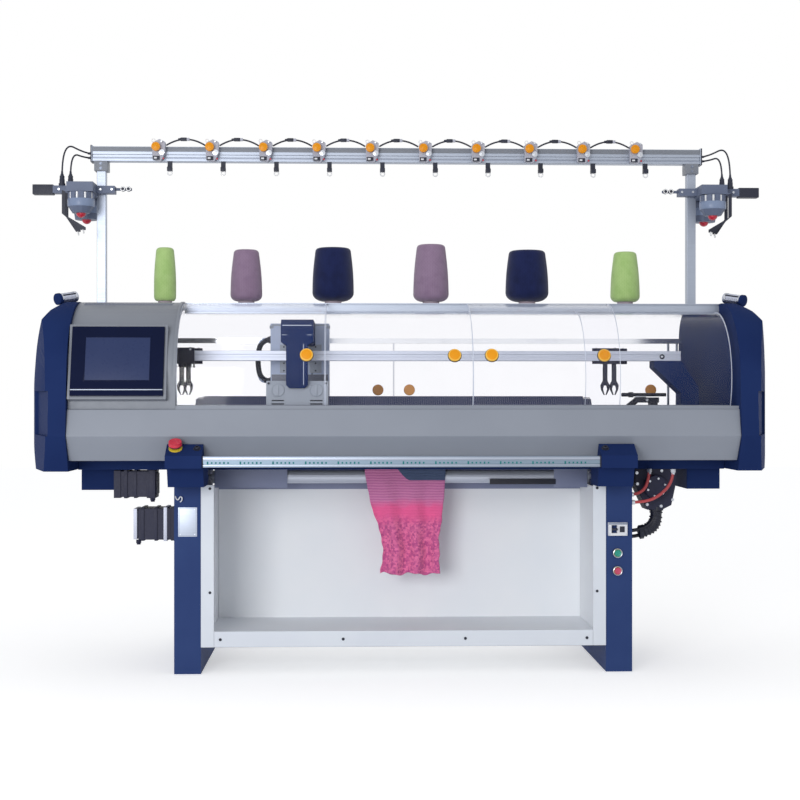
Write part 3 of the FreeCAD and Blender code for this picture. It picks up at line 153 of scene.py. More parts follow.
# bare metals
metalWords = ("colour", "metallic", "roughness", "along", "lineMm", "lineDepth")
metals = {
    # name: the words above in their order; along stretches the lines
    # drawn and anodised aluminium: pale, with fine lines along its length
    "anodisedAluminium": ("#A4ACBB", 0.7, 0.4, (0.02, 1, 1), 1.6, 0.12),
    # the feeder rails and the roller: the anodised aluminium painted paler, painted light that keeps them
    # bright in the shade under the hood
    "anodisedAluminiumPaintedLit": ("#C6CCDA", 0.4, 0.4, (0.02, 1, 1), 1.6, 0.15),
    # the rear head track, buffed bright: it mirrors the white room and almost vanishes, as in the photograph
    "polishedAluminium": ("#F4F6FA", 1.0, 0.14, (0.02, 1, 1), 1.6, 0.05),
    # the start bar's extrusion, anodised a little bluer and brushed along its length
    "brushedBarAluminium": ("#7A8B9B", 0.7, 0.4, (0.02, 1, 1), 1.6, 0.15),
    # a darker aluminium grey: painted shade in the slots of the extrusions, and painted highlight lines on
    # the navy bridge
    "shadedAluminium": ("#868E9F", 0.6, 0.42, (0.02, 1, 1), 1.6, 0.12),
    # die-cast motor flanges: pale, with a slightly sandy skin
    "castPaleAluminium": ("#B4B8C8", 0.5, 0.5, (1, 1, 1), 2.0, 0.2),
    # ground tool steel of the beds: greyer, with lines down the slope
    "groundToolSteel": ("#4E536F", 0.8, 0.38, (1, 0.03, 0.03), 2.5, 0.2),
    # blued needles, a shade brighter than the bed they lie in
    "bluedNeedleSteel": ("#6A6E86", 0.9, 0.32, (1, 0.05, 0.05), 3.0, 0.1),
    # bright zinc-plated screws and rings
    "zincPlatedSteel": ("#C4C8D0", 1.0, 0.28, (1, 1, 1), 1.0, 0.08),
    # turned steel barrels: bright bands round the axis
    "turnedSteel": ("#B9BECF", 0.85, 0.26, (1, 1, 1), 3.0, 0.1),
}


def metalFinish(name, look):
    finish, tree, shader = newFinish(name, look)
    place = addNode(tree, "TexCoord").outputs["Object"]
    stretch = addNode(tree, "Mapping", {"Scale": look["along"]}, {"Vector": place})
    lines = addNode(tree, "TexNoise", {"Scale": 1 / (look["lineMm"] * mm), "Detail": 4.0},
                    {"Vector": stretch.outputs["Vector"]})
    shine = addNode(tree, "MapRange", {"To Min": look["roughness"] - 0.1, "To Max": look["roughness"] + 0.1},
                    {"Value": lines.outputs["Fac"]})
    darker, brighter = [[min(1, share * c) for c in linear(look["colour"])[:3]] + [1]
                        for share in (0.86, 1.06)]
    tone = addNode(tree, "ValToRGB", {}, {"Fac": lines.outputs["Fac"]}, ((0, darker), (1, brighter)))
    dressShader(tree, shader, tone.outputs["Color"], lines.outputs["Fac"], look["lineDepth"], 0.3,
                shine.outputs["Result"])
    return finish


# acrylic of the covers, the hood and the deck
acrylic = {
    "tint": "#FEFEFF",             # 4 mm cast sheet takes very little light
    "dust": "#E6EAF2", "wipeMm": 140, "haze": 0.012,  # faint wiping smears, their size and their share
    "ior": 1.49, "roughness": 0.03,
    "glint": (0.005, 0.6),         # mirror share straight on and edge on, with an anti-static coating
    "frost": (1183, 1189, 0.24),   # the deck above this height is frosted, its rolled hood stays clear
}


def acrylicFinish(name, look, frosted):  # cast acrylic: clear, with a white sheen where it turns away
    finish = bpy.data.materials.new(name)
    finish.use_nodes = True
    tree = finish.node_tree
    tree.nodes.remove(tree.nodes["Principled BSDF"])
    place = addNode(tree, "TexCoord").outputs["Object"]
    if frosted:
        height = addNode(tree, "SeparateXYZ", links={"Vector": place}).outputs["Z"]
        low, high, most = look["frost"]
        haze = addNode(tree, "MapRange", {"From Min": low * mm, "From Max": high * mm, "To Min": look["haze"],
                                          "To Max": most}, {"Value": height})
    else:
        wipe = addNode(tree, "TexNoise", {"Scale": 1 / (look["wipeMm"] * mm), "Detail": 5.0},
                       {"Vector": place})
        haze = addNode(tree, "MapRange", {"From Min": 0.35, "From Max": 0.75, "To Min": 0.0,
                                          "To Max": look["haze"]}, {"Value": wipe.outputs["Fac"]})
    clear = addNode(tree, "BsdfTransparent", {"Color": linear(look["tint"])})
    dust = addNode(tree, "BsdfDiffuse", {"Color": linear(look["dust"])})
    gloss = addNode(tree, "BsdfGlossy", {"Color": (1, 1, 1, 1), "Roughness": look["roughness"]})
    # the sheet bends no rays: its far face takes the inverse index, to stay as clear as the near one
    side = addNode(tree, "NewGeometry").outputs["Backfacing"]
    index = addNode(tree, "MapRange", {"To Min": look["ior"], "To Max": 1 / look["ior"]}, {"Value": side})
    facing = addNode(tree, "Fresnel", links={"IOR": index.outputs["Result"]})
    glint = addNode(tree, "MapRange", {"From Min": 0.04, "To Min": look["glint"][0],
                                       "To Max": look["glint"][1]}, {"Value": facing.outputs["Fac"]})
    sheet = addNode(tree, "MixShader", {}, {0: haze.outputs["Result"], 1: clear.outputs[0],
                                            2: dust.outputs[0]})
    whole = addNode(tree, "MixShader", {}, {0: glint.outputs["Result"], 1: sheet.outputs[0],
                                            2: gloss.outputs[0]})
    tree.links.new(whole.outputs[0], tree.nodes["Material Output"].inputs["Surface"])
    return finish


finishes = {name: coatedFinish(name, dict(zip(coatWords, row))) for name, row in coats.items()}
finishes.update({name: metalFinish(name, dict(zip(metalWords, row))) for name, row in metals.items()})
for name, frosted in (("castClearAcrylic", False), ("frostedAcrylicDeck", True)):
    finishes[name] = acrylicFinish(name, acrylic, frosted)

nodeFinish = {
    "powderCoatedNavySteel": "left_end_cover right_end_cover base_beam rail_brackets carriage_bridge "
                             "bar_brackets", "powderCoatedLegSteel": "left_leg right_leg",
    "powderCoatPaintedLitInside": "fabric_tray tray_sides",
    "powderCoatedBlackSteel": "yarn_carrier_1 yarn_carrier_2 yarn_carrier_3 yarn_carrier_4 drive_motors "
                              "racking_drive", "enamelledGreySheet": "front_panel rear_panel cover_tracks",
    "enamelledBlueGreySheet": "carriage_rear",
    "enamelledHousing": "screen_housing",
    "enamelledCarriageSheet": "carriage_front",
    "polishedNavyPolycarbonate": "touch_screen",
    "mouldedGreyAbs": "storage_feeders left_front_drum left_rear_drum right_front_drum right_rear_drum",
    "mouldedPaleAbs": "tensioners",
    "mouldedBlackAbs": "yarn_eyelets breaker_toggle",
    "mouldedWhiteAbs": "breaker_box",
    "mouldedYellowAbs": "button_collars",
    "mouldedOrangeKnob": "tensioner_knobs",
    "mouldedRedButton": "estop_head",
    "mouldedGreenButton": "start_button",
    "mouldedRoseButton": "stop_button",
    # the paler copy: painted light on the rails and the roller
    "anodisedAluminiumPaintedLit": "feeder_rails takedown_roller",
    "anodisedAluminium": "overhead_beam posts",
    "brushedBarAluminium": "operating_bar",
    "groundToolSteel": "front_needle_bed rear_needle_bed carriage_guides",
    "turnedSteel": "top_barrels",
    "castClearAcrylic": "front_cover_1 front_cover_2 front_cover_3 front_cover_4 rear_cover_left "
                        "rear_cover_right", "frostedAcrylicDeck": "cone_table",
}
for finishName, names in nodeFinish.items():
    for name in names.split():
        nodes[name].data.materials.clear()
        nodes[name].data.materials.append(finishes[finishName])
faceSplit = {"headTrack": 1.0, "trayFace": -0.295, "armTop": 1.6, "armRear": 0.24}  # metres


def paintFaces(name, finishNames, choose):  # more finishes on a CAD node, each face by where it lies
    mesh = nodes[name].data
    for finishName in finishNames.split():
        mesh.materials.append(finishes[finishName])
    for face in mesh.polygons:
        face.material_index = choose(face.center)


# the foot tracks are painted like the panels, the front head track is bare, the rear one polished
paintFaces("cover_tracks", "anodisedAluminium polishedAluminium",
           lambda c: 0 if c.z < faceSplit["headTrack"] else 1 if c.y < 0 else 2)
# the tray's inside faces are painted whiter than the faces turned to the front: painted light that offsets
# the shade falling inside the tray
for name in ("fabric_tray", "tray_sides"):
    paintFaces(name, "powderCoatedPaleSheet", lambda c: int(c.y < faceSplit["trayFace"]))
# the bent yarn arms under the storage feeders are black
paintFaces("storage_feeders", "mouldedBlackAbs",
           lambda c: int(c.z < faceSplit["armTop"] and c.y < faceSplit["armRear"]))
print("stage: finishes on the CAD nodes")


# small tools for the pieces: all sizes in mm, in the machine's own frame
def closeMesh(form, name, finishNames, body, sharpAngle=35):
    # ends a piece: its mesh in metres, its finishes and the body that it rides
    bmesh.ops.recalc_face_normals(form, faces=form.faces)
    bmesh.ops.scale(form, vec=(mm, mm, mm), verts=form.verts)
    mesh = bpy.data.meshes.new(name)
    form.to_mesh(mesh)
    form.free()
    for finishName in finishNames.split():
        mesh.materials.append(finishes[finishName])
    if sharpAngle:
        mesh.shade_smooth()
        mesh.set_sharp_from_angle(angle=math.radians(sharpAngle))
    piece = bpy.data.objects.new(name, mesh)
    scene.collection.objects.link(piece)
    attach(piece, body)
    return piece


def turned(form, place, way, profile, sides=32, finish=0, ring=False):
    # profile: (radius, distance along the axis); a radius of 0 closes that end
    turn = Vector((0, 0, 1)).rotation_difference(Vector(way)).to_matrix().to_4x4()
    turn.translation = Vector(place)
    angles = [math.tau * k / sides for k in range(sides)]
    rows = [[form.verts.new(turn @ Vector((radius * math.cos(a), radius * math.sin(a), along)))
             for a in (angles if radius else angles[:1])] for radius, along in profile]
    pairs = list(zip(rows, rows[1:])) + ([(rows[-1], rows[0])] if ring else [])
    for low, high in pairs:
        for k in range(sides):
            n = (k + 1) % sides
            corners = list(dict.fromkeys([low[k % len(low)], low[n % len(low)], high[n % len(high)],
                                          high[k % len(high)]]))
            if len(corners) > 2:
                form.faces.new(corners).material_index = finish


def block(form, low, high, soften=0.0, finish=0, turn=Matrix()):
    # a box with eased edges between two corners given in any order; turn is about its own middle
    low, high = [Vector([pick(pair) for pair in zip(low, high)]) for pick in (min, max)]
    place = Matrix.Translation((low + high) / 2) @ turn @ Matrix.Diagonal(high - low).to_4x4()
    made = bmesh.ops.create_cube(form, size=1, matrix=place)["verts"]
    for face in dict.fromkeys(f for v in made for f in v.link_faces):
        face.material_index = finish
    if soften:
        edges = list(dict.fromkeys(e for v in made for e in v.link_edges))
        bevelled = bmesh.ops.bevel(form, geom=edges, offset=soften, segments=2, profile=0.7, affect="EDGES")
        for face in bevelled["faces"]:
            face.material_index = finish


def torus(form, place, way, ringRadius, wireRadius, finish=0, sides=28, wireSides=10):
    turned(form, place, way, [(ringRadius + wireRadius * math.cos(math.tau * k / wireSides),
                               wireRadius * math.sin(math.tau * k / wireSides)) for k in range(wireSides)],
           sides, finish, ring=True)


def capScrew(form, place, way, radius=5.0, height=3.0, finish=0):
    # socket head with a rounded rim and a hexagon recess drawn as a dark cone
    turned(form, place, way, [(radius, -0.4), (radius, height * 0.7), (radius * 0.82, height),
                              (radius * 0.5, height), (radius * 0.42, height * 0.4), (0, height * 0.3)], 12,
           finish)


def hexBolt(form, place, way, radius, height, finish=0):  # on its washer
    turned(form, place, way, [(radius * 1.35, -0.4), (radius * 1.35, 1.2)], 20, finish)
    turned(form, place, way, [(0, 1.2), (radius * 1.35, 1.2)], 20, finish)
    turned(form, place, way, [(radius, 1.2), (radius, height), (radius * 0.85, height + 0.8),
                              (0, height + 0.8)], 6, finish)


def splineCord(name, runs, radius, finishName, body):
    # one smooth curve through each run's own route points
    curve = bpy.data.curves.new(name, "CURVE")
    curve.dimensions = "3D"
    curve.bevel_depth = radius * mm
    curve.bevel_resolution = 4
    curve.use_fill_caps = True
    curve.resolution_u = 10
    for run in runs:
        spline = curve.splines.new("NURBS")
        spline.points.add(len(run) - 1)
        for knot, place in zip(spline.points, run):
            knot.co = [c * mm for c in place] + [1]
        spline.order_u = 3
        spline.use_endpoint_u = True
    curve.materials.append(finishes[finishName])
    cord = bpy.data.objects.new(name, curve)
    scene.collection.objects.link(cord)
    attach(cord, body)
    return cord


def splinePoints(cord):  # points along each run, read from the smooth curve without its thickness
    bare = cord.data.copy()
    bare.bevel_depth = 0
    holder = bpy.data.objects.new("bareRun", bare)
    places = [v.co / mm for v in bpy.data.meshes.new_from_object(holder).vertices]
    bpy.data.objects.remove(holder)
    return places


def waveScale(size):  # scale of a wave texture whose bands lie size mm apart
    return 1 / (size * mm) / 20 * math.tau


# wound yarn packages on their paper tubes
packages = {
    "row": 110, "foot": 1194, "tubeShows": 24, "sides": 72, "topCurve": 13, "crown": 2.6,
    # middle x, foot radius, top radius, height, tube radius
    "green": [(-815, 38, 31, 185, 24), (789, 51, 40, 175, 27)],
    "mauve": [(-534, 55, 44, 178, 28), (108, 62, 50, 198, 29)],
    "navy": [(-233, 72, 62, 185, 29), (444, 75, 64, 178, 29)],
    "drawnThreadMm": 4.5,  # real yarn is about 0.8 mm, too fine to show at this distance
}
yarns = {
    "green": {"colour": "#B3D08A", "deep": "#97BD6E", "sheen": 0.35},
    "mauve": {"colour": "#957F98", "deep": "#816A85", "sheen": 0.3},
    "navy": {"colour": "#1B2552", "deep": "#10183C", "sheen": 0.2},
}


def woundYarn(name, look):  # cross-wound spun yarn: two slants of thread, soft and matt with a downy rim
    finish, tree, shader = newFinish(name, {**look, "roughness": 0.85, "gloss": 0.15})
    laid = addNode(tree, "UVMap", {"uv_map": "laid"}).outputs["UV"]
    crossed = addNode(tree, "Math", {"operation": "MAXIMUM"})
    for k, slant in enumerate((24, -24)):
        slanted = addNode(tree, "Mapping", {"Rotation": (0, 0, math.radians(slant))}, {"Vector": laid})
        wave = addNode(tree, "TexWave", {"bands_direction": "Y",
                                         "Scale": waveScale(packages["drawnThreadMm"]),
                                         "Distortion": 0.6, "Detail": 2.0, "Detail Scale": 2.0},
                       {"Vector": slanted.outputs["Vector"]})
        tree.links.new(wave.outputs["Fac"], crossed.inputs[k])
    blotch = addNode(tree, "TexNoise", {"Scale": 1 / (30 * mm), "Detail": 3.0},
                     {"Vector": addNode(tree, "TexCoord").outputs["Object"]})
    shade = addNode(tree, "Math", {"operation": "MULTIPLY"}, {0: crossed.outputs[0],
                                                              1: blotch.outputs["Fac"]})
    tone = addNode(tree, "ValToRGB", {}, {"Fac": shade.outputs[0]},
                   ((0.1, linear(look["deep"])), (0.5, linear(look["colour"]))))
    dressShader(tree, shader, tone.outputs["Color"], crossed.outputs[0], 0.5, 0.8)
    return finish


def windPackage(form, laid, middleX, footRadius, topRadius, tall, tubeRadius):
    # domed foot and shoulder, with a slight crown between them
    row, base, sides = packages["row"], packages["foot"] + packages["tubeShows"], packages["sides"]
    topCurve, domeWide = packages["topCurve"], footRadius - tubeRadius - 4
    footCurve = 12 + 0.45 * domeWide
    profile = [(tubeRadius - 1, 3), (footRadius - domeWide, 0)]
    for k in range(6):
        a = math.radians(12 + 15.6 * k)
        profile.append((footRadius - domeWide * (1 - math.sin(a)), footCurve * (1 - math.cos(a))))
    for k in range(1, 12):
        t = k / 12
        profile.append((footRadius + (topRadius - footRadius) * t + packages["crown"] * math.sin(math.pi * t),
                        footCurve + (tall - topCurve - footCurve) * t))
    for k in range(6):
        a = math.radians(15.6 * k)
        profile.append((topRadius - topCurve * (1 - math.cos(a)), tall - topCurve + topCurve * math.sin(a)))
    profile += [(topRadius * 0.62, tall - 2), (tubeRadius * 0.55, tall - 8)]
    rows = [[form.verts.new((middleX + radius * math.cos(math.tau * k / sides),
                             row + radius * math.sin(math.tau * k / sides),
                             base + along)) for k in range(sides)]
            for radius, along in profile]
    around = math.tau * (footRadius + topRadius) / 2 * mm
    for low, high, (_, lowZ), (_, highZ) in zip(rows, rows[1:], profile, profile[1:]):
        for k in range(sides):
            n = (k + 1) % sides
            face = form.faces.new((low[k], low[n], high[n], high[k]))
            for loop, (u, v) in zip(face.loops, ((k, lowZ), (k + 1, lowZ), (k + 1, highZ), (k, highZ))):
                loop[laid].uv = (u / sides * around, v * mm)


for colour, look in yarns.items():
    yarnName = "woundYarn" + colour.title()
    finishes[yarnName] = woundYarn(yarnName, look)
    form = bmesh.new()
    laid = form.loops.layers.uv.new("laid")
    for entry in packages[colour]:
        windPackage(form, laid, *entry)
    piece = closeMesh(form, colour + "Yarn", yarnName, "frame", 60)
    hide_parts(colour + "_packages")
form = bmesh.new()
shows = packages["tubeShows"]
for middleX, _, _, tall, tube in packages["green"] + packages["mauve"] + packages["navy"]:
    top, high = tube * 0.55, shows + tall
    turned(form, (middleX, packages["row"], packages["foot"]), (0, 0, 1),
           [(tube - 2.5, 0), (tube, 0.6), (tube, shows + 5), (top + 2.5, high - 12), (top + 2.5, high - 1),
            (top, high - 0.2), (top - 1.5, high - 1), (top - 1.5, high - 30), (tube - 2.5, 30)], 40,
            ring=True)
closeMesh(form, "paperTubes", "woundKraftTube", "frame")
print("stage: yarn packages")

# the knitted panel hanging from the throat
panel = {
    # height, left edge, right edge, depth of the folds
    "rows": [(868, -124, 150, 0.0), (640, -126, 149, 1.5), (535, -107, 142, 6.0), (394, -62, 124, 11.0),
             (289, -70, 129, 13.0)],
    "middleY": -50, "thick": 2.0, "folds": 2.75, "across": 64, "down": 150, "hemWave": 4.0,
    "flat": (0.285, 0.595),  # as it came off the needles, relaxed
    "rib": "#DC8CBB", "ribDeep": "#C672A6", "band": "#F2669F", "marlPale": "#EE7AAC", "marlDeep": "#BE5490",
    "waste": "#51607F", "bandTop": 527, "marlTop": 478, "wasteFoot": 604,
    "ridgeMm": 9,
    "drawnStitchMm": 7.0,  # real stitches are about 2 mm wide, too fine to show at this distance
}


def knittedWool(look):  # knitted wool blend: matt, downy, ridged across the top, marled below
    finish, tree, shader = newFinish("knittedPinkWool", {"colour": look["band"], "roughness": 0.9,
                                                         "gloss": 0.15, "sheen": 0.35})
    place = addNode(tree, "TexCoord").outputs["Object"]
    parts = addNode(tree, "SeparateXYZ", links={"Vector": place})
    cell = addNode(tree, "TexVoronoi", {"Scale": 1 / (look["drawnStitchMm"] * mm), "Randomness": 0.75},
                   {"Vector": place})
    ridges = addNode(tree, "TexWave", {"bands_direction": "Z", "Scale": waveScale(look["ridgeMm"]),
                                       "Distortion": 1.6, "Detail": 2.0, "Detail Scale": 0.6},
                     {"Vector": place})
    marl = addNode(tree, "ValToRGB", {}, {"Fac": cell.outputs["Color"]},
                   ((0.25, linear(look["marlDeep"])), (0.75, linear(look["marlPale"]))))
    rib = addNode(tree, "ValToRGB", {}, {"Fac": ridges.outputs["Fac"]},
                  ((0, linear(look["ribDeep"])), (1, linear(look["rib"]))))
    # the borders between the zones wander by up to 30 mm
    wander = addNode(tree, "TexNoise", {"Scale": 1 / (40 * mm), "Detail": 3.0}, {"Vector": place})
    height = addNode(tree, "Math", {"operation": "MULTIPLY_ADD"},
                     {0: wander.outputs["Fac"], 2: parts.outputs["Z"]})
    height.inputs[1].default_value = 0.03
    # hot pink band between the ridged top and the marled foot
    toBand = addNode(tree, "MapRange", {"From Min": (look["marlTop"] - 10) * mm,
                                        "From Max": (look["marlTop"] + 28) * mm},
                     {"Value": height.outputs[0]})
    lower = addNode(tree, "Mix", {"data_type": "RGBA", "B": linear(look["band"])},
                    {"Factor": toBand.outputs["Result"], "A": marl.outputs["Color"]})
    toRib = addNode(tree, "MapRange", {"From Min": look["bandTop"] * mm,
                                       "From Max": (look["bandTop"] + 30) * mm}, {"Value": height.outputs[0]})
    upper = addNode(tree, "Mix", {"data_type": "RGBA"}, {"Factor": toRib.outputs["Result"],
                                                         "A": lower.outputs["Result"],
                                                         "B": rib.outputs["Color"]})
    # the waste yarn at the top right dips in a curve from the left
    dip = addNode(tree, "MapRange", {"interpolation_type": "SMOOTHSTEP", "From Min": -0.045, "From Max": 0.03,
                                     "To Min": (look["wasteFoot"] + 60) * mm,
                                     "To Max": look["wasteFoot"] * mm}, {"Value": parts.outputs["X"]})
    above = addNode(tree, "Math", {"operation": "GREATER_THAN"},
                    {0: parts.outputs["Z"], 1: dip.outputs["Result"]})
    whole = addNode(tree, "Mix", {"data_type": "RGBA", "B": linear(look["waste"])},
                    {"Factor": above.outputs[0], "A": upper.outputs["Result"]})
    relief = addNode(tree, "Math", {"operation": "ADD"}, {0: cell.outputs["Distance"],
                                                          1: ridges.outputs["Fac"]})
    dressShader(tree, shader, whole.outputs["Result"], relief.outputs[0], 0.7, 1.2)
    return finish


def between(rows, level):  # eased values of a row table at a height
    for upper, lower in zip(rows, rows[1:]):
        if upper[0] >= level >= lower[0]:
            t = (upper[0] - level) / (upper[0] - lower[0])
            return [a + (b - a) * t for a, b in zip(upper[1:], lower[1:])]
    return list(rows[-1][1:])


finishes["knittedPinkWool"] = knittedWool(panel)
form = bmesh.new()
rows = []
topLevel, footLevel = panel["rows"][0][0], panel["rows"][-1][0]
for j in range(panel["down"] + 1):
    t = j / panel["down"]
    level = topLevel + (footLevel - topLevel) * t
    # averaged over 24 mm, so that the outline bends softly at each row of the table
    near = [between(panel["rows"], min(topLevel, max(footLevel, level + d))) for d in (-12, 0, 12)]
    left, right, depth = [sum(values) / 3 for values in zip(*near)]
    ripple = min(1, max(0, (600 - level) / 200))
    left += ripple * (2.2 * math.sin(level / 17) + 1.4 * math.sin(level / 7.3 + 1))
    right += ripple * (2.0 * math.sin(level / 15 + 2) + 1.2 * math.sin(level / 6.1))
    row = []
    for i in range(panel["across"] + 1):
        u = i / panel["across"]
        x = left + (right - left) * u
        y = panel["middleY"] + depth * (math.sin(u * panel["folds"] * math.tau + 0.6) - 1)
        y += ripple * (1.0 * math.sin(x / 9 + level / 21) + 0.7 * math.sin(level / 8 + x / 30))
        hem = panel["hemWave"] * t ** 12 * (math.sin(u * 14 + 0.5) + 0.5 * math.sin(u * 31))
        row.append(form.verts.new((x, y, level + hem)))
    rows.append(row)
for upper, lower in zip(rows, rows[1:]):
    for i in range(panel["across"]):
        form.faces.new((upper[i], upper[i + 1], lower[i + 1], lower[i]))
knit = closeMesh(form, "knittedPanelCloth", "knittedPinkWool", "frame", 0)
thicken = knit.modifiers.new("thickness", "SOLIDIFY")
thicken.thickness = panel["thick"] * mm
thicken.offset = 0
knit.data.shade_smooth()
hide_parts("knitted_panel")
print("stage: knitted panel")

# leads between the yarn sensors and from the beam's ends to the feeders
leads = {
    "radius": 3, "first": -858, "step": 190.4, "count": 10, "row": 267, "level": 1785, "peak": 1829,
    "exits": (27.2, -23.2),
    "ends": [[(1101, 300, 1760), (1123, 300, 1760), (1196, 246, 1794), (1196, 246, 1670)],
             [(1101, 300, 1744), (1123, 300, 1744), (1166, 246, 1754), (1166, 246, 1670)]],
}
spots = [leads["first"] + leads["step"] * i for i in range(leads["count"])]
spans = [(left + leads["exits"][0], right + leads["exits"][1]) for left, right in zip(spots, spots[1:])]
row, level = leads["row"], leads["level"]
chain = [[(start, row, level), ((start + end) / 2, row, leads["peak"]), (end, row, level)]
         for start, end in spans]
endRuns = [[(side * x, y, z) for x, y, z in run] for side in (-1, 1) for run in leads["ends"]]
sensorLeads = splineCord("sensorLeads", chain + endRuns, leads["radius"], "extrudedBlackCable", "frame")
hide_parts("sensor_leads")
hoses = {
    "radius": 5,
    "runs": [[(800, -254, 650), (798, -254, 605), (768, -258, 568), (735, -258, 568)],
             [(872, -280, 650), (872, -280, 608), (820, -280, 558), (770, -280, 544), (735, -280, 544)]],
}
gearHoses = splineCord("airHoses", hoses["runs"], hoses["radius"], "extrudedRedHose", "frame")
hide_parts("gearbox_hoses")
gearCables = {
    "radius": 6,
    "runs": [[(828, -210, 515), (828, -210, 479), (780, -210, 446), (735, -210, 446)],
             [(840, -186, 515), (840, -186, 465), (786, -186, 424), (735, -186, 424)]],
}
gearLeads = splineCord("gearLeads", gearCables["runs"], gearCables["radius"], "extrudedBlackCable", "frame")
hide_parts("gearbox_leads")

# the ribbed conduit beside the carriage
conduit = {
    "points": [(-445, 56, 1082), (-481, 56, 1082), (-493, 56, 1011), (-481, 56, 940), (-445, 56, 940)],
    "radius": 8.8, "ribEvery": 2, "ribRadius": 9.6,
}
inner, outer = conduit["radius"], conduit["ribRadius"]
sleeve = splineCord("conduitSleeve", [conduit["points"]], inner, "extrudedBlackCable", "carriage")
path = splinePoints(sleeve)
form = bmesh.new()
for before, here, after in list(zip(path, path[1:], path[2:]))[::conduit["ribEvery"]]:
    turned(form, here, after - before, [(inner, -2), (outer, -1), (outer, 1), (inner, 2)], 16)
for end in (conduit["points"][0], conduit["points"][-1]):
    turned(form, end, (-1, 0, 0), [(0, 0), (13, 0), (13, 5), (11, 6), (11, 12), (9, 13), (0, 13)], 6)
closeMesh(form, "conduitRibs", "mouldedBlackAbs", "carriage")

# connectors where the leads join between the yarn sensors, and bushes where the others end
form = bmesh.new()
places = splinePoints(sensorLeads)
for start, end in spans:
    x, y, z = min(places, key=lambda p: abs(p.x - (start + end) / 2) + abs(p.y - leads["row"]))
    block(form, (x - 15, y - 6, z - 6), (x + 7, y + 6, z + 6), 2)
    block(form, (x + 7, y - 5, z - 5), (x + 17, y + 5, z + 5), 1.5, 1)
    turned(form, (x - 15, y, z), (-1, 0, -0.1), [(5, -1), (4.4, 8), (3.2, 9)], 10)
for run in endRuns:
    turned(form, run[0], (1 if run[0][0] > 0 else -1, 0, 0), [(6.5, -1), (6.5, 4), (4.5, 6), (3.6, 14),
                                                              (3, 14)], 12)
    turned(form, run[-1], (0, 0, 1), [(6.5, -1), (6.5, 5), (4.5, 8), (3.6, 18), (3, 18)], 12)
closeMesh(form, "leadConnectors", "mouldedBlackAbs mouldedPaleAbs", "frame")
form = bmesh.new()
for run in hoses["runs"]:
    turned(form, run[0], (0, 0, -1), [(0, -1), (8.5, -1), (8.5, 9), (6, 10), (6, 16), (5, 16)], 6)
    turned(form, run[-1], (1, 0, 0), [(0, -1), (9, -1), (9, 3), (7.5, 4), (7.5, 12), (5, 13)], 16)
closeMesh(form, "hoseFittings", "zincPlatedSteel", "frame")
form = bmesh.new()
for run in gearCables["runs"]:
    turned(form, run[0], (0, 0, -1), [(0, -1), (11, -1), (11, 8), (9, 9), (9, 18), (6, 20)], 6)
    turned(form, run[-1], (1, 0, 0), [(0, -1), (11, -1), (11, 6), (9, 7), (9, 14), (6, 16)], 6)
closeMesh(form, "cableGlands", "mouldedBlackAbs", "frame")
print("stage: leads, hoses and conduit")

# eased edges, so that folded and moulded corners catch a line of light
easedEdges = {
    3.0: "left_end_cover right_end_cover front_panel rear_panel left_leg right_leg bar_brackets "
         "screen_housing carriage_front carriage_rear carriage_bridge touch_screen",
    1.6: "base_beam rail_brackets fabric_tray tray_sides drive_motors racking_drive storage_feeders "
         "overhead_beam posts breaker_box tensioners",
    0.8: "feeder_rails yarn_carrier_1 yarn_carrier_2 yarn_carrier_3 yarn_carrier_4 yarn_eyelets "
         "operating_bar carriage_guides",
}
for width, names in easedEdges.items():
    for name in names.split():
        weld = nodes[name].modifiers.new("weldSeams", "WELD")
        weld.merge_threshold = 0.002 * mm
        ease = nodes[name].modifiers.new("easedEdges", "BEVEL")
        ease.width = width * mm
        ease.segments = 2
        ease.limit_method = "ANGLE"
        ease.angle_limit = math.radians(38)
        ease.use_clamp_overlap = True
        ease.harden_normals = True

# sliding covers: sawn edges, feet in the track and knobs on their seats
covers = {
    "centre": (-170, 946), "foot": 849.3, "rear": -164, "sheet": 4, "edgeWide": 1.5, "arcSteps": 48,
    "knobZ": 1015, "knobRadius": 20.4, "knobHigh": 7,
    # cover: radius, left end, right end, knob x
    "slides": {1: (245, -715, -250, -310), 2: (221, -255, 216, 156), 3: (245, 211, 677, 271),
               4: (221, 570, 1036, 630)},
}


def arcStrip(form, left, right, inner, outer, start, end, centre, steps, finish=0):
    # a bent strip: angles in degrees from the front, rising over the top
    rings = []
    for k in range(steps + 1):
        a = math.radians(start + (end - start) * k / steps)
        rings.append([form.verts.new((x, centre[0] - r * math.cos(a), centre[1] + r * math.sin(a)))
                      for x, r in ((left, inner), (right, inner), (right, outer), (left, outer))])
    for low, high in zip(rings, rings[1:]):
        for k in range(4):
            form.faces.new((low[k], low[(k + 1) % 4], high[(k + 1) % 4], high[k])).material_index = finish
    form.faces.new(rings[0]).material_index = finish
    form.faces.new(rings[-1]).material_index = finish


def gripKnob(form, place, way, radius, high, rim=1, seat=2):  # seat washer, rim and dished face
    turned(form, place, way, [(radius + 1.8, -0.6), (radius + 1.8, 1.4), (radius, 2.0)], 36, seat)
    turned(form, place, way, [(radius, 1.0), (radius, high - 0.6), (radius - 1.2, high + 1.0),
                              (radius - 4, high + 1.4)], 36, rim)
    turned(form, place, way, [(radius - 4, high + 1.4), (radius - 4.8, high + 0.4), (radius - 9, high + 1.2),
                              (0, high + 2.0)], 36)


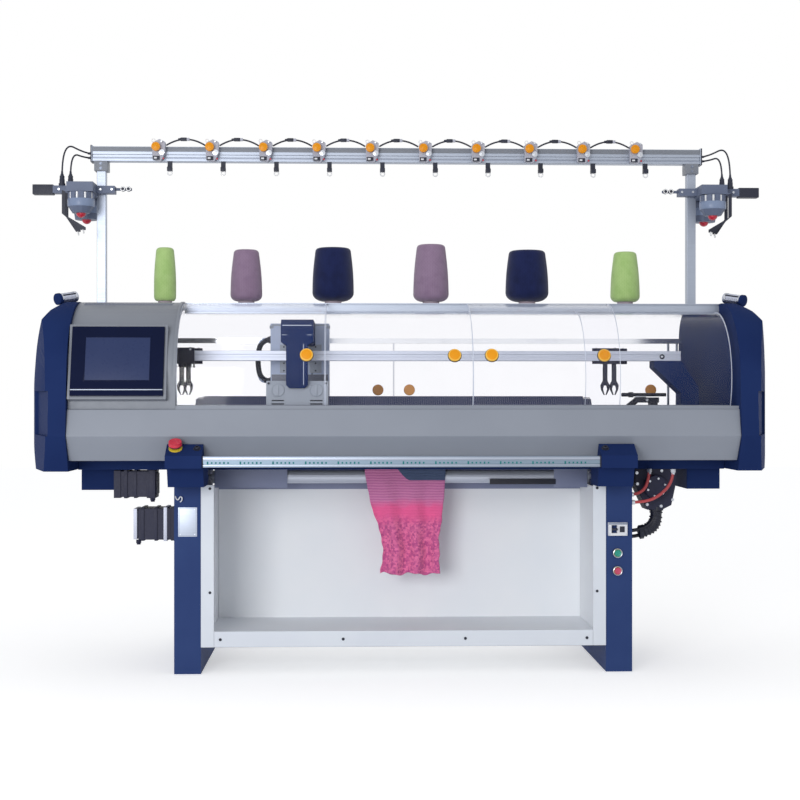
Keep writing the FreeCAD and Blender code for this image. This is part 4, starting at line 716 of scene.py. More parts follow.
centreY, centreZ = covers["centre"]
for number, (radius, left, right, knobX) in covers["slides"].items():
    body, wide, sheet = "cover_%d" % number, covers["edgeWide"], covers["sheet"]
    start = math.degrees(math.asin((covers["foot"] - centreZ) / radius))
    end = math.degrees(math.acos((centreY - covers["rear"]) / radius))
    form = bmesh.new()
    for low in (left - 0.2, right + 0.2 - wide):
        arcStrip(form, low, low + wide, radius - sheet - 0.3, radius + 0.3, start, end, covers["centre"],
                 covers["arcSteps"])
    # folded painted foot that runs in the track
    arcStrip(form, left, right, radius - sheet - 1.2, radius + 0.8, start, start + 2.2,
             covers["centre"], 2, 1)
    closeMesh(form, "coverEdges%d" % number, "sawnAcrylicEdge enamelledGreySheet", body)
    lean = math.asin((covers["knobZ"] - centreZ) / radius)
    out = Vector((0, -math.cos(lean), math.sin(lean)))
    form = bmesh.new()
    gripKnob(form, Vector((knobX, centreY, centreZ)) + out * radius, out, covers["knobRadius"],
             covers["knobHigh"])
    closeMesh(form, "coverKnob%d" % number, "mouldedOrangeKnob mouldedAmberRim mouldedBlackAbs", body)

rearCovers = {
    "foot": 849.3, "top": 1093, "knobZ": 912,
    # body: name, inner face, outer face, knob xs, ends of the two stiles, ends of the sawn edge
    "rear_left": ("rearLeft", 411, 415, (-938, -71), ((-1038, -1030), (-1006, -998)), (-12.4, -11)),
    "rear_right": ("rearRight", 387, 391, (44, 938), ((1030, 1038), (998, 1006)), (-16, -14.6)),
}
foot, top, level = rearCovers["foot"], rearCovers["top"], rearCovers["knobZ"]
for body in ("rear_left", "rear_right"):
    name, near, far, knobs, stiles, edge = rearCovers[body]
    form = bmesh.new()
    # the knobs take the lighter amber: painted light against the shade behind the covers
    for x in knobs:
        turned(form, (x, far + 0.2, level), (0, 1, 0), [(0, 0), (20.4, 0), (20.4, 6.4), (19, 8), (0, 8.6)])
        turned(form, (x, near - 0.2, level), (0, -1, 0), [(0, 0), (19, 0), (19, 1.6), (17.4, 2.8), (0, 3.2)])
    closeMesh(form, name + "Knobs", "mouldedAmberKnobPaintedLit", body)
    form = bmesh.new()
    for low, high in stiles:
        block(form, (low, near - 0.8, foot), (high, far + 0.8, top), 0.6)
    block(form, (edge[0], near - 0.3, foot), (edge[1], far + 0.3, top), 0, 1)
    closeMesh(form, name + "Stiles", "anodisedAluminium sawnAcrylicEdge", body)
print("stage: covers")

# storage feeders at both ends
feeders = {
    "front": (1120, 196), "rear": (1134, 386), "foot": 1532, "bowlTop": 1560, "ribTop": 1604, "ribs": 9,
    "postRing": 40, "endBlock": (1228, 1300, 244, 280, 1606, 1640), "level": 1626,
    "discs": (982, 962), "discY": 249, "plugs": (1166, 1196), "plugY": 246,
    "screws": (1020, 1060, 1206), "lamp": 1090, "eyes": ((1107, 170), (1135, 226)), "eyeZ": 1465,
}
bowlTop = feeders["bowlTop"]
for side, word in ((-1, "left"), (1, "right")):
    for row in ("front", "rear"):
        x, y = feeders[row][0] * side, feeders[row][1]
        form = bmesh.new()
        turned(form, (x, y, feeders["foot"] + 3), (0, 0, -1),
               [(17, -2), (17, 4), (15.4, 10), (11, 15), (5.5, 18), (0, 19)])
        for k in range(feeders["ribs"]):  # white ceramic posts in the gaps between the ribs
            a = math.tau * (k + 0.5) / feeders["ribs"]
            turned(form, (x + feeders["postRing"] * math.cos(a), y + feeders["postRing"] * math.sin(a),
                          bowlTop - 1), (0, 0, 1), [(4.2, 0), (4.2, feeders["ribTop"] - bowlTop)], 10, 1)
        # smooth bowl round the lower half of the ribs
        turned(form, (x, y, bowlTop), (0, 0, 1), [(45.6, -6), (46.9, -3), (47.3, 4), (47.1, 19),
                                                  (45.8, 21.5)], 48, 2)
        closeMesh(form, "%s%sDrumCap" % (word, row.title()),
                  "mouldedRedButton glazedCeramic mouldedBlueGreyAbs",
                  "drum_%s_%s" % (word, row))
    form = bmesh.new()
    inX, outX, lowY, highY, lowZ, highZ = feeders["endBlock"]
    block(form, (side * (inX - 0.6), lowY - 0.6, lowZ - 0.6),
          (side * (outX + 0.6), highY + 0.6, highZ + 0.6), 3.0)
    for plug in feeders["plugs"]:
        turned(form, (side * plug, feeders["plugY"], 1636), (0, 0, 1),
               [(12, 0), (12, 8), (9.5, 9), (9.5, 22), (8.6, 24), (8.6, 34.6), (0, 34.6)], 20)
    for disc in feeders["discs"]:
        x, y, z = side * disc, feeders["discY"], feeders["level"]
        turned(form, (x, y, z), (0, -1, 0), [(0, -1), (9.4, -1), (9.4, 1.2), (7, 2.2), (0, 2.2)], 24)
        torus(form, (x, y - 3, z), (0, 1, 0), 7.0, 1.7, 1)
    for x, y in feeders["eyes"]:
        torus(form, (side * x, y, feeders["eyeZ"]), (1, 0, 0.2), 6.5, 1.9, 1)
    for x in feeders["screws"]:
        capScrew(form, (side * x, 240, feeders["level"] - 3), (0, -1, 0), 4.5, 2.5, 2)
    lamp = side * feeders["lamp"]
    block(form, (lamp - 9, 237.4, 1612), (lamp + 9, 240.5, 1618), 0.8, 3)
    closeMesh(form, word + "FeederTrim", "mouldedBlackAbs glazedCeramic zincPlatedSteel mouldedRedButton",
              "frame")

# overhead beam, posts, tensioners and their eyelets
line = {
    "beamFoot": 1730, "beamTop": 1784, "beamFront": 280, "beamHalf": 1095, "cap": (1097, 1101.8),
    "postX": 1064, "bolts": (1703, 1720), "tensionerFace": 254, "eyelet": (39, 279, 1696),
    "knob": (-6, 232, 1776), "mills": 14,
}
half, front = line["beamHalf"], line["beamFront"]
form = bmesh.new()
block(form, (-half, front - 0.8, line["beamTop"] - 19), (half, front + 1, line["beamTop"] - 3), 0.5, 2)
block(form, (-half, front - 0.5, line["beamFoot"] + 9), (half, front + 1, line["beamFoot"] + 12))
for side in (-1, 1):
    block(form, (side * line["cap"][0], 276.6, 1726.6), (side * line["cap"][1], 323.4, 1787.4), 1.5, 1)
    x = side * line["postX"]
    block(form, (x - 24, 272, 1694), (x + 24, 328, 1730.5), 3, 2)
    for z in line["bolts"]:
        hexBolt(form, (x, 272, z), (0, -1, 0), 4, 3)
    block(form, (x - 30, 270, 1194), (x + 30, 330, 1199), 1.5, 2)
    for dx, dy in ((-22, -22), (22, -22), (-22, 22), (22, 22)):
        capScrew(form, (x + dx, 300 + dy, 1199), (0, 0, 1), 4.5, 3, 3)
closeMesh(form, "beamTrim", "shadedAluminium mouldedBlackAbs enamelledHousing zincPlatedSteel", "frame")
form = bmesh.new()
face, (eyeletX, eyeletY, eyeletZ) = line["tensionerFace"], line["eyelet"]
for x in spots:
    # brake discs, a bare bright plate, a lamp, guide pins and ceramic eyes on each tensioner
    turned(form, (x + 14, face + 0.5, 1758), (0, -1, 0), [
        (0, 0), (10, 0), (10, 1.5), (8.5, 3), (8.5, 5), (10, 6.5), (10, 8), (3, 8.5), (3, 11), (0, 11.5)], 24)
    block(form, (x - 18, face - 2.5, 1731), (x + 6, face + 0.5, 1745), 1.2, 1)
    block(form, (x - 14, face - 3.6, 1735), (x - 4, face - 2, 1741), 0.6, 2)
    turned(form, (x + 19, face + 0.5, 1736), (0, -1, 0),
           [(0, 0), (3.4, 0), (3.4, 2), (2, 4), (0, 4.4)], 14, 3)
    turned(form, (x + 14, face + 0.5, 1796), (0, -1, 0), [(0, 0), (2, 0), (2, 13), (3.2, 13.5), (3.2, 15),
                                                          (0, 15.6)], 10)
    torus(form, (x - 16, face - 4, 1800), (0, 1, 0), 5.5, 1.6, 4)
    turned(form, (x - 16, face + 1, 1794.5), (0, -1, 0), [(0, 0), (1.6, 0), (1.6, 5)], 8)
    ringX = x + eyeletX
    block(form, (ringX - 9, eyeletY - 15, eyeletZ - 2), (ringX + 9, eyeletY + 10, eyeletZ + 12), 1.6, 1)
    torus(form, (ringX, eyeletY - 3, eyeletZ - 8), (0, 1, 0), 7.5, 2.3, 4)
closeMesh(form, "tensionerTrim",
          "zincPlatedSteel mouldedBlackAbs mouldedWhiteAbs mouldedRedButton glazedCeramic",
          "frame")
form = bmesh.new()
for spot in spots:
    x, y, z = spot + line["knob"][0], line["knob"][1], line["knob"][2]
    gripKnob(form, (x, y + 2, z), (0, -1, 0), 13.6, 1.6, 0, 0)
    for k in range(line["mills"]):  # milled rim
        a = math.tau * k / line["mills"]
        turned(form, (x + 13.6 * math.cos(a), y + 20, z + 13.6 * math.sin(a)), (0, -1, 0),
               [(1.1, 0), (1.1, 18)], 6)
closeMesh(form, "tensionerCaps", "mouldedOrangeKnob", "frame")
print("stage: feeders and yarn line")

# touch screen and housing
display = {
    "middle": (-895, -413, 993), "lean": 13.7, "half": (143, 111), "pane": (-99.6, 99.6, -61.6, 75.6),
    "paneLift": (12.4, 13.7), "strip": (-93.5, -90.5), "highlightStripLift": (13.4, 15.2), "rimLift": (13.2, 14.6),
    "frame": 9, "frameLift": (-34, 6),
}
leaned = Matrix.Translation(display["middle"]) @ Matrix.Rotation(math.radians(-display["lean"]), 4, "X")


def onScreen(form, u, v, lift, soften=0.0, finish=0):  # a block given across, up and out of the leaned screen
    start = len(form.verts)
    block(form, (u[0], -lift[1], v[0]), (u[1], -lift[0], v[1]), soften, finish)
    form.verts.ensure_lookup_table()
    bmesh.ops.transform(form, matrix=leaned, verts=form.verts[start:])


form = bmesh.new()
left, right, low, high = display["pane"]
wide, tall = display["half"]
onScreen(form, (left, right), (low, high), display["paneLift"], 0.4)
# a pale strip across the housing: painted highlight of the bend near its lower edge
onScreen(form, (1 - wide, wide - 1), display["strip"], display["highlightStripLift"], 0.6, 1)
for u, v in (((left - 3, left), (low - 3, high + 3)), ((right, right + 3), (low - 3, high + 3)),
             ((left, right), (low - 3, low)), ((left, right), (high, high + 3))):
    onScreen(form, u, v, display["rimLift"], 0.4, 2)
wideOut, tallOut = wide + display["frame"], tall + display["frame"]
for u, v in (((-wideOut, -wide), (-tallOut, tallOut)), ((wide, wideOut), (-tallOut, tallOut)),
             ((-wide, wide), (-tallOut, -tall)), ((-wide, wide), (tall, tallOut))):
    onScreen(form, u, v, display["frameLift"], 1.2, 3)
closeMesh(form, "screenTrim",
          "coatedDisplayGlass anodisedAluminium polishedNavyPolycarbonate enamelledHousing",
          "frame")
housing = {"centre": (-170, 946), "radius": 249, "strip": (-1029, -746, 71.5, 78),
           "lip": (-724, -715.4, -22, 90)}
form = bmesh.new()
# the strip takes shadedHousing: painted shade in the recess across the housing's top
left, right, start, end = housing["strip"]
radius = housing["radius"]
arcStrip(form, left, right, radius - 1, radius + 1.2, start, end, housing["centre"], 6)
left, right, start, end = housing["lip"]
arcStrip(form, left, right, radius - 2, radius + 1.6, start, end, housing["centre"], 48, 1)
closeMesh(form, "housingTrim", "shadedHousing enamelledHousing", "frame")

# knitting carriage: locks and slots of the front box, doors and screws of the rear one, bridge trim
carriage = {
    "bosses": ((-407, 907), (-283, 907)), "bossFace": -256, "slots": (871, 860), "boxFace": -252,
    "screwXs": (-437, -253), "screwZs": (929, 850), "rearFace": 12, "middle": -345, "bridgeFace": -268,
    "doors": ((-413, -386), (-312, -271)), "doorScrews": (975, 1000, 1030, 1056), "ends": (-441, -249),
    # left, right, foot and top of the painted highlight lines on the bridge's folds and edges, and how proud
    # they stand
    "lines": ((-325, -322.6, 924, 1056, 0.8), (-392, -298, 1114, 1117, 0.8), (-394, -377, 1084, 1085.6, 0.6),
              (-313, -296, 1084, 1085.6, 0.6)),
}
form = bmesh.new()
face = carriage["bossFace"]
for x, z in carriage["bosses"]:
    block(form, (x - 3, face - 2, z - 17), (x + 3, face + 2, z + 17), 1.2)
    torus(form, (x, face + 0.8, z), (0, 1, 0), 20, 1.2, 0, 32, 6)
    for slot in carriage["slots"]:
        block(form, (x - 19.6, carriage["boxFace"] + 0.6, slot + 0.3),
              (x + 19.6, carriage["boxFace"] + 3.6, slot + 3.7), 0, 1)
for x in carriage["screwXs"]:
    for z in carriage["screwZs"]:
        capScrew(form, (x, carriage["boxFace"], z), (0, -1, 0), 3.6, 1.8, 1)
face, (left, right) = carriage["rearFace"], carriage["ends"]
for low, high in carriage["doors"]:
    block(form, (low, face - 1, 967), (high, face + 1, 1064), 0.5)
    for z in carriage["doorScrews"]:
        capScrew(form, ((low + high) / 2, face - 1, z), (0, -1, 0), 2.8, 1.4, 1)
# a band of shadedHousing: painted shade along the foot of the rear box
block(form, (left, face - 1.2, 938), (right, face + 1, 962), 0.6, 2)
block(form, (left, face - 0.8, 1128), (right, face + 1, 1133), 0.5)
for x in (left, right):
    turned(form, (x, face + 4, 1124), (-1 if x < carriage["middle"] else 1, 0, 0),
           [(0, -6), (6, -6), (6, 5), (4.5, 7), (0, 7)], 16)
face = carriage["bridgeFace"]
# thin pale strips: painted highlights along the bridge's top fold, the stem's flange and the edges of two
# recesses
for left, right, low, high, proud in carriage["lines"]:
    block(form, (left, face - proud, low), (right, face + 1, high), 0, 3)
closeMesh(form, "carriageTrim", "enamelledCarriageSheet mouldedBlackAbs shadedHousing shadedAluminium",
          "carriage")

# needles in the two beds
needles = {
    "left": -684, "right": 634, "drawnPitch": 7.2,   # real pitch is 3.6 mm, drawn coarser so that it shows
    "crest": 888, "crests": ((-54, -1), (-46, 1)), "slopeLong": (6, 150), "sunk": -0.6, "proud": 1.1,
    "wide": 2.2,
}
form = bmesh.new()
slope = math.sqrt(0.5)
for k in range(int((needles["right"] - needles["left"]) / needles["drawnPitch"]) + 1):
    x = needles["left"] + k * needles["drawnPitch"]
    for crestY, way in needles["crests"]:
        a, b, c, d, e, f, g, h = [
            form.verts.new((x + dx, crestY + way * (along + out) * slope,
                            needles["crest"] + (out - along) * slope))
            for along in needles["slopeLong"] for out in (needles["sunk"], needles["proud"])
            for dx in (0, needles["wide"])]
        for face in ((c, d, h, g), (a, c, g, e), (b, f, h, d), (a, b, d, c), (e, g, h, f)):
            form.faces.new(face)
closeMesh(form, "needleRows", "bluedNeedleSteel", "frame", 20)

# yarn cutter beside the bed on its post, and the rails' end screws
cutter = {"row": -20, "level": 893, "reach": (752, 905), "railScrews": (879, -770)}
form = bmesh.new()
row, start, long = cutter["row"], cutter["reach"][0], cutter["reach"][1] - cutter["reach"][0]
turned(form, (start, row, cutter["level"]), (1, 0, 0), [(0, 0), (5, 0), (6.5, 2), (6.5, 24), (9, 25), (9, 40),
                                                        (6, 41), (6, long), (0, long)], 18)
block(form, (796, row - 10, 866), (880, row + 10, 884), 2.5)
block(form, (770, row - 6, 852), (806, row + 6, 872), 3, 0, Matrix.Rotation(math.radians(-38), 4, "Y"))
block(form, (800, row - 4, 884), (836, row + 4, 892), 1, 1)
block(form, (846, row - 16, 806), (874, row + 16, 872), 2.5)
capScrew(form, (838, row - 10, 875), (0, -1, 0), 5, 3, 1)
for x in cutter["railScrews"]:
    capScrew(form, (x, -80, 1021), (0, -1, 0), 8.5, 3)
    capScrew(form, (x, -82.6, 1021), (0, -1, 0), 4, 1.2, 1)
closeMesh(form, "cutterAndScrews", "mouldedBlackAbs zincPlatedSteel", "frame")

# screws, guide pins and a ceramic eye on each yarn carrier; the inner two keep clear of the outer two
carriers = {
    # body: middle x, lane of its claw, middle y of its hook, y of its guide pins
    "carrier_1": (-738, -59.75, -82.3, -84.3), "carrier_2": (-718, -40.25, -17.7, -15.7),
    "carrier_3": (690, -54.25, -63.7, None), "carrier_4": (722, -45.75, -36.3, None),
}
for body, (x, lane, hookY, pinY) in carriers.items():
    form = bmesh.new()
    for side in (-1, 1):
        capScrew(form, (x + side * 32, hookY, 1050), (0, 0, 1), 3.6, 2, 1)
        if pinY:
            turned(form, (x + side * 16, pinY, 1004), (0, 0, -1),
                   [(4, -3), (4, 6), (2.6, 7), (2.6, 14), (4, 15), (4, 19), (0, 19)], 12)
        if body == "carrier_1":  # the only one whose face shows from the front
            capScrew(form, (x + side * 32, -90.3, 1044), (0, -1, 0), 3.6, 2, 1)
    torus(form, (x, lane, 893.5), (0, 0, 1), 1.4, 0.9, 2, 16, 8)
    closeMesh(form, "carrierTrim" + body[-1], "mouldedBlackAbs zincPlatedSteel glazedCeramic", body)
print("stage: carriage, needles and carriers")

# stand: bare rating plate, wire hook, screws, guard and roller plates
stand = {
    "plate": (-722, -662, 439, 532), "legFace": -300, "hook": (-722, -303, 561),
    "flangeScrews": [(x, z) for x in (-621, 621) for z in (592, 260)],
    "lipScrews": (-588, -196, 196, 588), "lipZ": 110, "lipFace": -302,
    "guard": (-629, 629, 566, 652), "guardRow": 98, "rollerPlates": ((-629, -385), (516, 629)),
    "wiper": (298, 522, 590, 608),
    # tilt of the bar brackets' slopes, the bolts on them and the stop button's place
    "tilt": 29.95, "slopeBolts": ((-645, -464.4, 724.5), (619, -464.4, 724.5)),
    "estop": (-711, -464.4, 724.5),
}
form = bmesh.new()
left, right, low, high = stand["plate"]
face = stand["legFace"]
block(form, (left, face - 1.0, low), (right, face + 0.5, high), 0.4)
for a, b in (((left + 2.5, low + 2.5), (right - 2.5, low + 4)),
             ((left + 2.5, high - 4), (right - 2.5, high - 2.5)),
             ((left + 2.5, low + 4), (left + 4, high - 4)), ((right - 4, low + 4), (right - 2.5, high - 4))):
    block(form, (a[0], face - 1.25, a[1]), (b[0], face - 0.6, b[1]), 0, 1)
for x in (left + 6.5, right - 6.5):
    for z in (low + 6.5, high - 6.5):
        turned(form, (x, face - 1, z), (0, -1, 0), [(0, -0.5), (1.8, -0.5), (1.7, 0.6), (0, 1.1)], 12, 2)
closeMesh(form, "ratingPlate", "anodisedAluminium shadedAluminium zincPlatedSteel", "frame")
hookX, hookY, hookZ = stand["hook"]
hookRun = [(hookX + x, hookY + y, hookZ + z) for x, y, z in (
    (-9, 1, 7), (-4, -8, -4), (3, -8, -3), (7, -8, 7), (14, -8, 4), (13, -7, -7), (7, 1, -11))]
splineCord("wireHook", [hookRun], 1.9, "mouldedWhiteAbs", "frame")
form = bmesh.new()
for x, z in stand["flangeScrews"]:
    capScrew(form, (x, stand["legFace"] - 2, z), (0, -1, 0), 4.5, 2.5)
for x in stand["lipScrews"]:
    capScrew(form, (x, stand["lipFace"], stand["lipZ"]), (0, -1, 0), 4.8, 2.6)
tilt = math.radians(stand["tilt"])
slopeWay = Vector((0, -math.sin(tilt), math.cos(tilt)))
for place in stand["slopeBolts"]:
    turned(form, place, slopeWay, [(12, -0.5), (12, 1.2), (8.4, 1.4), (8.4, 6.5), (7.2, 8), (4.4, 8),
                                   (4, 3.5), (0, 3)], 20)
for side in (-1, 1):  # bolts that hold each leg to the beam
    for z in (640, 610):
        for y in (60, -60):
            hexBolt(form, (side * 735, y, z), (side, 0, 0), 8, 6)
closeMesh(form, "standScrews", "mouldedBlackAbs", "frame")
form = bmesh.new()
# a thin plate filling the gap behind the roller, in painted shade: the grey of the shaded tray back
left, right, low, high = stand["guard"]
block(form, (left, stand["guardRow"] - 1, low), (right, stand["guardRow"] + 1, high), 0.5)
# cover plates before the roller's ends, and the black rubber wiper that the right one holds
for left, right in stand["rollerPlates"]:
    block(form, (left, -56, 580), (right, -53.5, 650), 0.4)
left, right, low, high = stand["wiper"]
block(form, (left, -58, low), (right, -52, high), 1.2, 1)
closeMesh(form, "guardPlatePaintedShade", "enamelledGuard extrudedBlackCable", "frame")

# emergency stop, push buttons and breaker
controls = {
    "start": (382, "mouldedGreenButton", "green_plastic"), "stop": (325, "mouldedRoseButton", "stop_plastic"),
    "buttonX": 687, "breakerScrews": ((660, 443), (713, 443)),
}
form = bmesh.new()
spot = Vector(stand["estop"])
turned(form, spot, slopeWay, [(12, 11.6), (20.3, 12.6), (20.9, 15), (20.4, 20), (18, 23.6), (13, 25.8),
                              (7, 26.5), (0, 26.7)], 48)
torus(form, spot + slopeWay * 25.6, slopeWay, 12.5, 0.9, 0, 36, 6)
turned(form, spot, slopeWay, [(13, 10.4), (19.4, 10.4), (20.4, 11.2), (21.1, 14), (20.6, 14.6)], 48, 1)
closeMesh(form, "stopMushroom", "mouldedRedButton mouldedBlackAbs", "estop")
rings = bmesh.new()
x = controls["buttonX"]
for body in ("start", "stop"):
    level, finishName, slotName = controls[body]
    form = bmesh.new()
    turned(form, (x, -310, level), (0, -1, 0),
           [(10.8, -1), (10.8, 2.2), (9.8, 3.2), (8.5, 2.6), (0, 2.2)], 36)
    closeMesh(form, body + "Lens", finishName, body)
    torus(rings, (x, -308, level), (0, 1, 0), 13.4, 1.7, 0, 36, 8)
    turned(rings, (x, -300, level), (0, -1, 0), [(15.4, -0.5), (15.4, 1.6), (14, 2.4)], 36, 1)
block(rings, (656.6, -314.6, 474.5), (716.4, -313.4, 480.4), 0.3, 2)
block(rings, (692, -315.2, 450), (708, -313.4, 469), 0.8, 1)
block(rings, (694.5, -318.5, 455), (705.5, -314.5, 464), 1.0, 1)
for x, z in controls["breakerScrews"]:
    capScrew(rings, (x, -314, z), (0, -1, 0), 2.6, 1.2)
closeMesh(rings, "controlTrim", "zincPlatedSteel mouldedBlackAbs shadedAluminium", "frame")

# plain ticks on the start bar, lighter and darker strips along it that paint the highlights of its extruded
# lips and the shade of its grooves, and its end caps
bar = {
    "left": -610, "right": 584, "face": -492, "tickZ": 682, "tick": 12.5, "caps": (-627.5, 601.5),
    "lines": ((699.5, 701.5, 3), (691.5, 698.5, 2), (689.5, 691, 3), (673, 676, 2), (668.8, 671, 3)),
}
form = bmesh.new()
for k in range(int((bar["right"] - bar["left"]) / bar["tick"]) + 1):
    if k % 8 not in (6, 7):
        x, tall = bar["left"] + k * bar["tick"], 8.5 if k % 8 == 0 else 6.5 if k % 4 == 0 else 5
        block(form, (x - 2.4, bar["face"] - 0.25, bar["tickZ"] - tall / 2),
              (x + 2.4, bar["face"] + 0.6, bar["tickZ"] + tall / 2))
# strips in finish 2 are painted highlights along the lips, strips in finish 3 painted shade in the grooves
for low, high, finish in bar["lines"]:
    block(form, (bar["left"] - 14, bar["face"] - 0.5, low), (bar["right"] + 14, bar["face"] + 0.5, high),
          0.2, finish)
for x in bar["caps"]:
    block(form, (x - 4, -492.6, 668), (x + 4, -463.4, 702.5), 1.2, 1)
closeMesh(form, "barScale", "printedTealScale mouldedBlackAbs anodisedAluminium shadedAluminium", "start_bar")
form = bmesh.new()
for x in (-620, 620):
    turned(form, (x, -26, 615), (1, 0, 0), [(22, -6), (24, -5), (24, 5), (22, 6)], 40)
closeMesh(form, "rollerRings", "zincPlatedSteel", "roller")
print("stage: stand and controls")

# motors under the casing, racking drive and its cable elbow
drives = {
    # from, to, half width, middle y and z of each motor; share of its length, thickness, how proud and finish
    # of the two plates round it
    "motors": ((-735, -877, 54, -150, 471, ((0.28, 12, 1.2, 1), (0.97, 12, -4, 1))),
               (-940, -802, 45, -170, 602, ((0.28, 12, 1.2, 0), (0.9, 20, 1.2, 0)))),
    "flats": (0.5, 0.8), "flange": 0.28, "outlet": 0.9,
    "bolts": [(766, 636), (848, 643), (882, 622), (768, 600), (800, 532), (884, 548), (846, 527)],
    "gearFace": -220, "disc": (826, -242, 590), "discRing": 37, "discScrews": 29,
    "elbow": [(834, -198, 520), (834, -198, 486), (826, -198, 462), (806, -198, 448), (780, -198, 440)],
    "elbowRadius": 19,
}
form = bmesh.new()
for start, end, half, y, z, plates in drives["motors"]:
    way, long = (1 if end > start else -1), end - start
    for along, thick, out, finish in plates:
        x, reach = start + long * along, half + out
        block(form, (x - thick / 2, y - reach, z - reach), (x + thick / 2, y + reach, z + reach), 2.5, finish)
    for share in drives["flats"]:  # flats of the motor body
        x = start + long * share
        block(form, (x - 5, y - half - 0.8, z - half + 6), (x + 5, y + half + 0.8, z + half - 6), 0.6)
        block(form, (x - 5, y - half + 6, z - half - 0.8), (x + 5, y + half - 6, z + half + 0.8), 0.6)
    turned(form, (start + long * drives["outlet"], y - half + 14, z - half - 1), (0, 0, -1),
           [(9, -3), (9, 7), (7, 8), (7, 12), (0, 12)], 6)
    x = start + long * drives["flange"] + way * 6
    for dy in (7 - half, half - 7):
        for dz in (7 - half, half - 7):
            capScrew(form, (x, y + dy, z + dz), (way, 0, 0), 5, 4)
for x, z in drives["bolts"]:
    hexBolt(form, (x, drives["gearFace"], z), (0, -1, 0), 3.6, 3.2, 2)
x, y, z = drives["disc"]
torus(form, (x, y, z), (0, 1, 0), drives["discRing"], 1.8, 0, 40, 8)
for k in range(6):
    a = math.tau * k / 6 + 0.3
    capScrew(form, (x + drives["discScrews"] * math.cos(a), y, z + drives["discScrews"] * math.sin(a)),
             (0, -1, 0), 4, 3, 2)
closeMesh(form, "driveTrim", "powderCoatedBlackSteel castPaleAluminium zincPlatedSteel", "frame")
big = drives["elbowRadius"]
elbow = splineCord("cableElbow", [drives["elbow"]], big, "mouldedBlackAbs", "frame")
path = splinePoints(elbow)
form = bmesh.new()
for before, here, after in list(zip(path, path[1:], path[2:]))[2::4]:
    turned(form, here, after - before, [(big - 1, -3), (big + 2.6, -2), (big + 2.6, 2), (big - 1, 3)], 24)
turned(form, drives["elbow"][0], (0, 0, -1), [(0, -4), (big + 5, -4), (big + 5, 8), (big + 2, 10)], 8)
turned(form, drives["elbow"][-1], (-1, 0, -0.15), [(big + 4, -10), (big + 4, 3), (big - 3, 6), (0, 6)], 8)
closeMesh(form, "elbowRibs", "mouldedBlackAbs", "frame")

# barrels on the end covers: navy cap, bright rings and two dark lengthwise strips
barrels = {"cap": (1120, -205, 1202.5), "way": (-0.66, 0.73, 0.17), "stripeTurns": (-0.9, 0.9), "stripeLong": 52}
for side, word in ((-1, "left"), (1, "right")):
    start, way = [Vector((side * x, y, z)) for x, y, z in (barrels["cap"], barrels["way"])]
    way.normalize()
    form = bmesh.new()
    turned(form, start, way, [(0, -6.4), (16.5, -6.4), (19.2, -5.2), (19.2, 5), (17.2, 5.8)])
    turned(form, start + way * 6, way, [(17.4, 0), (17.6, 3), (17.4, 6)], 32, 1)
    turned(form, start + way * 58, way, [(17.4, 0), (17.8, 4), (17.4, 8)], 32, 1)
    across = way.cross(Vector((0, 0, 1))).normalized()
    up = across.cross(way).normalized()
    long = barrels["stripeLong"]
    for turnBy in barrels["stripeTurns"]:
        out = (up * math.cos(turnBy) - across * math.sin(turnBy) * side).normalized()
        turned(form, start + way * (36 - long / 2) + out * 16.6, way,
               [(0, 0), (2.6, 0), (2.6, long), (0, long)], 8, 2)
    closeMesh(form, word + "BarrelTrim", "powderCoatedNavySteel zincPlatedSteel mouldedBlackAbs", "frame")
print("stage: drives and barrels")

# floor, light and camera
studio = {
    "floorColour": "#F1F2F4", "floorReach": 14.0,
    "floorLift": 0.45,  # metres; added brightness where it is seen
    "roomLight": 0.61,         # what the white room gives each surface
    "lampPower": 170, "lampSize": 2.4, "lampPlace": (-2.2, -6.2, 1.5), "lampAim": (0, 0, 0.9),
}


def seenRays(tree):  # 1 for what the camera sees straight, in a mirror or through a clear sheet
    ray = addNode(tree, "LightPath").outputs
    mirrored = addNode(tree, "Math", {"operation": "MAXIMUM"},
                       {0: ray["Is Camera Ray"], 1: ray["Is Glossy Ray"]})
    return addNode(tree, "Math", {"operation": "MAXIMUM"},
                   {0: mirrored.outputs[0], 1: ray["Is Transmission Ray"]}).outputs[0]


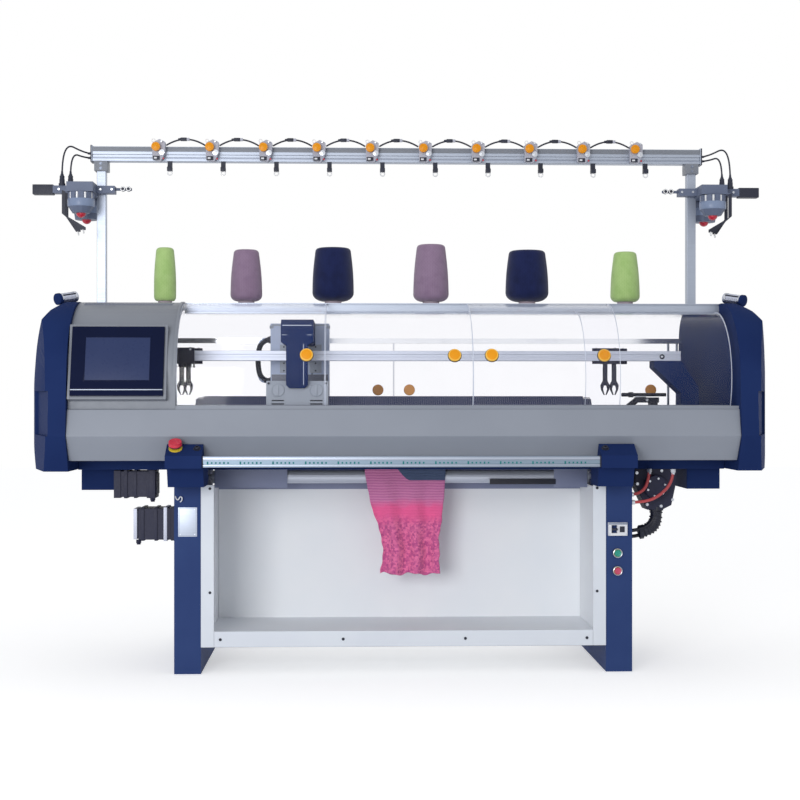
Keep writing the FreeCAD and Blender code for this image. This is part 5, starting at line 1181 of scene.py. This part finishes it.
def paleFloor(look):
    mesh = bpy.data.meshes.new("paleFloor")
    reach = look["floorReach"]
    mesh.from_pydata([(-reach, -reach, 0), (reach, -reach, 0), (reach, reach, 0), (-reach, reach, 0)],
                     [], [(0, 1, 2, 3)])
    floor = bpy.data.objects.new("paleFloor", mesh)
    scene.collection.objects.link(floor)
    finish = bpy.data.materials.new("mattPaintedFloor")
    finish.use_nodes = True
    tree = finish.node_tree
    tree.nodes.remove(tree.nodes["Principled BSDF"])
    paint = addNode(tree, "BsdfDiffuse", {"Color": linear(look["floorColour"])})
    lift = addNode(tree, "Emission", {"Color": (1, 1, 1, 1), "Strength": look["floorLift"]})
    both = addNode(tree, "AddShader", {}, {0: paint.outputs[0], 1: lift.outputs[0]})
    mixed = addNode(tree, "MixShader", {}, {0: seenRays(tree), 1: paint.outputs[0], 2: both.outputs[0]})
    tree.links.new(mixed.outputs[0], tree.nodes["Material Output"].inputs["Surface"])
    mesh.materials.append(finish)


def whiteRoom(look):
    world = bpy.data.worlds.new("whiteRoom")
    scene.world = world
    world.use_nodes = True
    tree = world.node_tree
    level = addNode(tree, "MapRange", {"To Min": look["roomLight"], "To Max": 1.0}, {"Value": seenRays(tree)})
    background = tree.nodes["Background"]
    background.inputs["Color"].default_value = (1, 1, 1, 1)
    tree.links.new(level.outputs["Result"], background.inputs["Strength"])


def softLamp(look):
    lamp = bpy.data.lights.new("softLamp", "AREA")
    lamp.energy = look["lampPower"]
    lamp.size = look["lampSize"]
    holder = bpy.data.objects.new("softLamp", lamp)
    scene.collection.objects.link(holder)
    holder.location = look["lampPlace"]
    holder.rotation_euler = (Vector(look["lampAim"]) - holder.location).to_track_quat("-Z", "Y").to_euler()


paleFloor(studio)
whiteRoom(studio)
softLamp(studio)

view = {"place": (-0.174, -5.0, 0.875), "turn": -1.95, "lens": 66}  # as the photograph was taken
cameraData = bpy.data.cameras.new("photoCamera")
cameraData.lens = view["lens"]
cameraData.sensor_width = 36
camera = bpy.data.objects.new("photoCamera", cameraData)
scene.collection.objects.link(camera)
camera.location = view["place"]
camera.rotation_euler = (math.radians(90), 0, math.radians(view["turn"]))
scene.camera = camera
scene.view_settings.view_transform = "Standard"
print("stage: floor, light and camera")
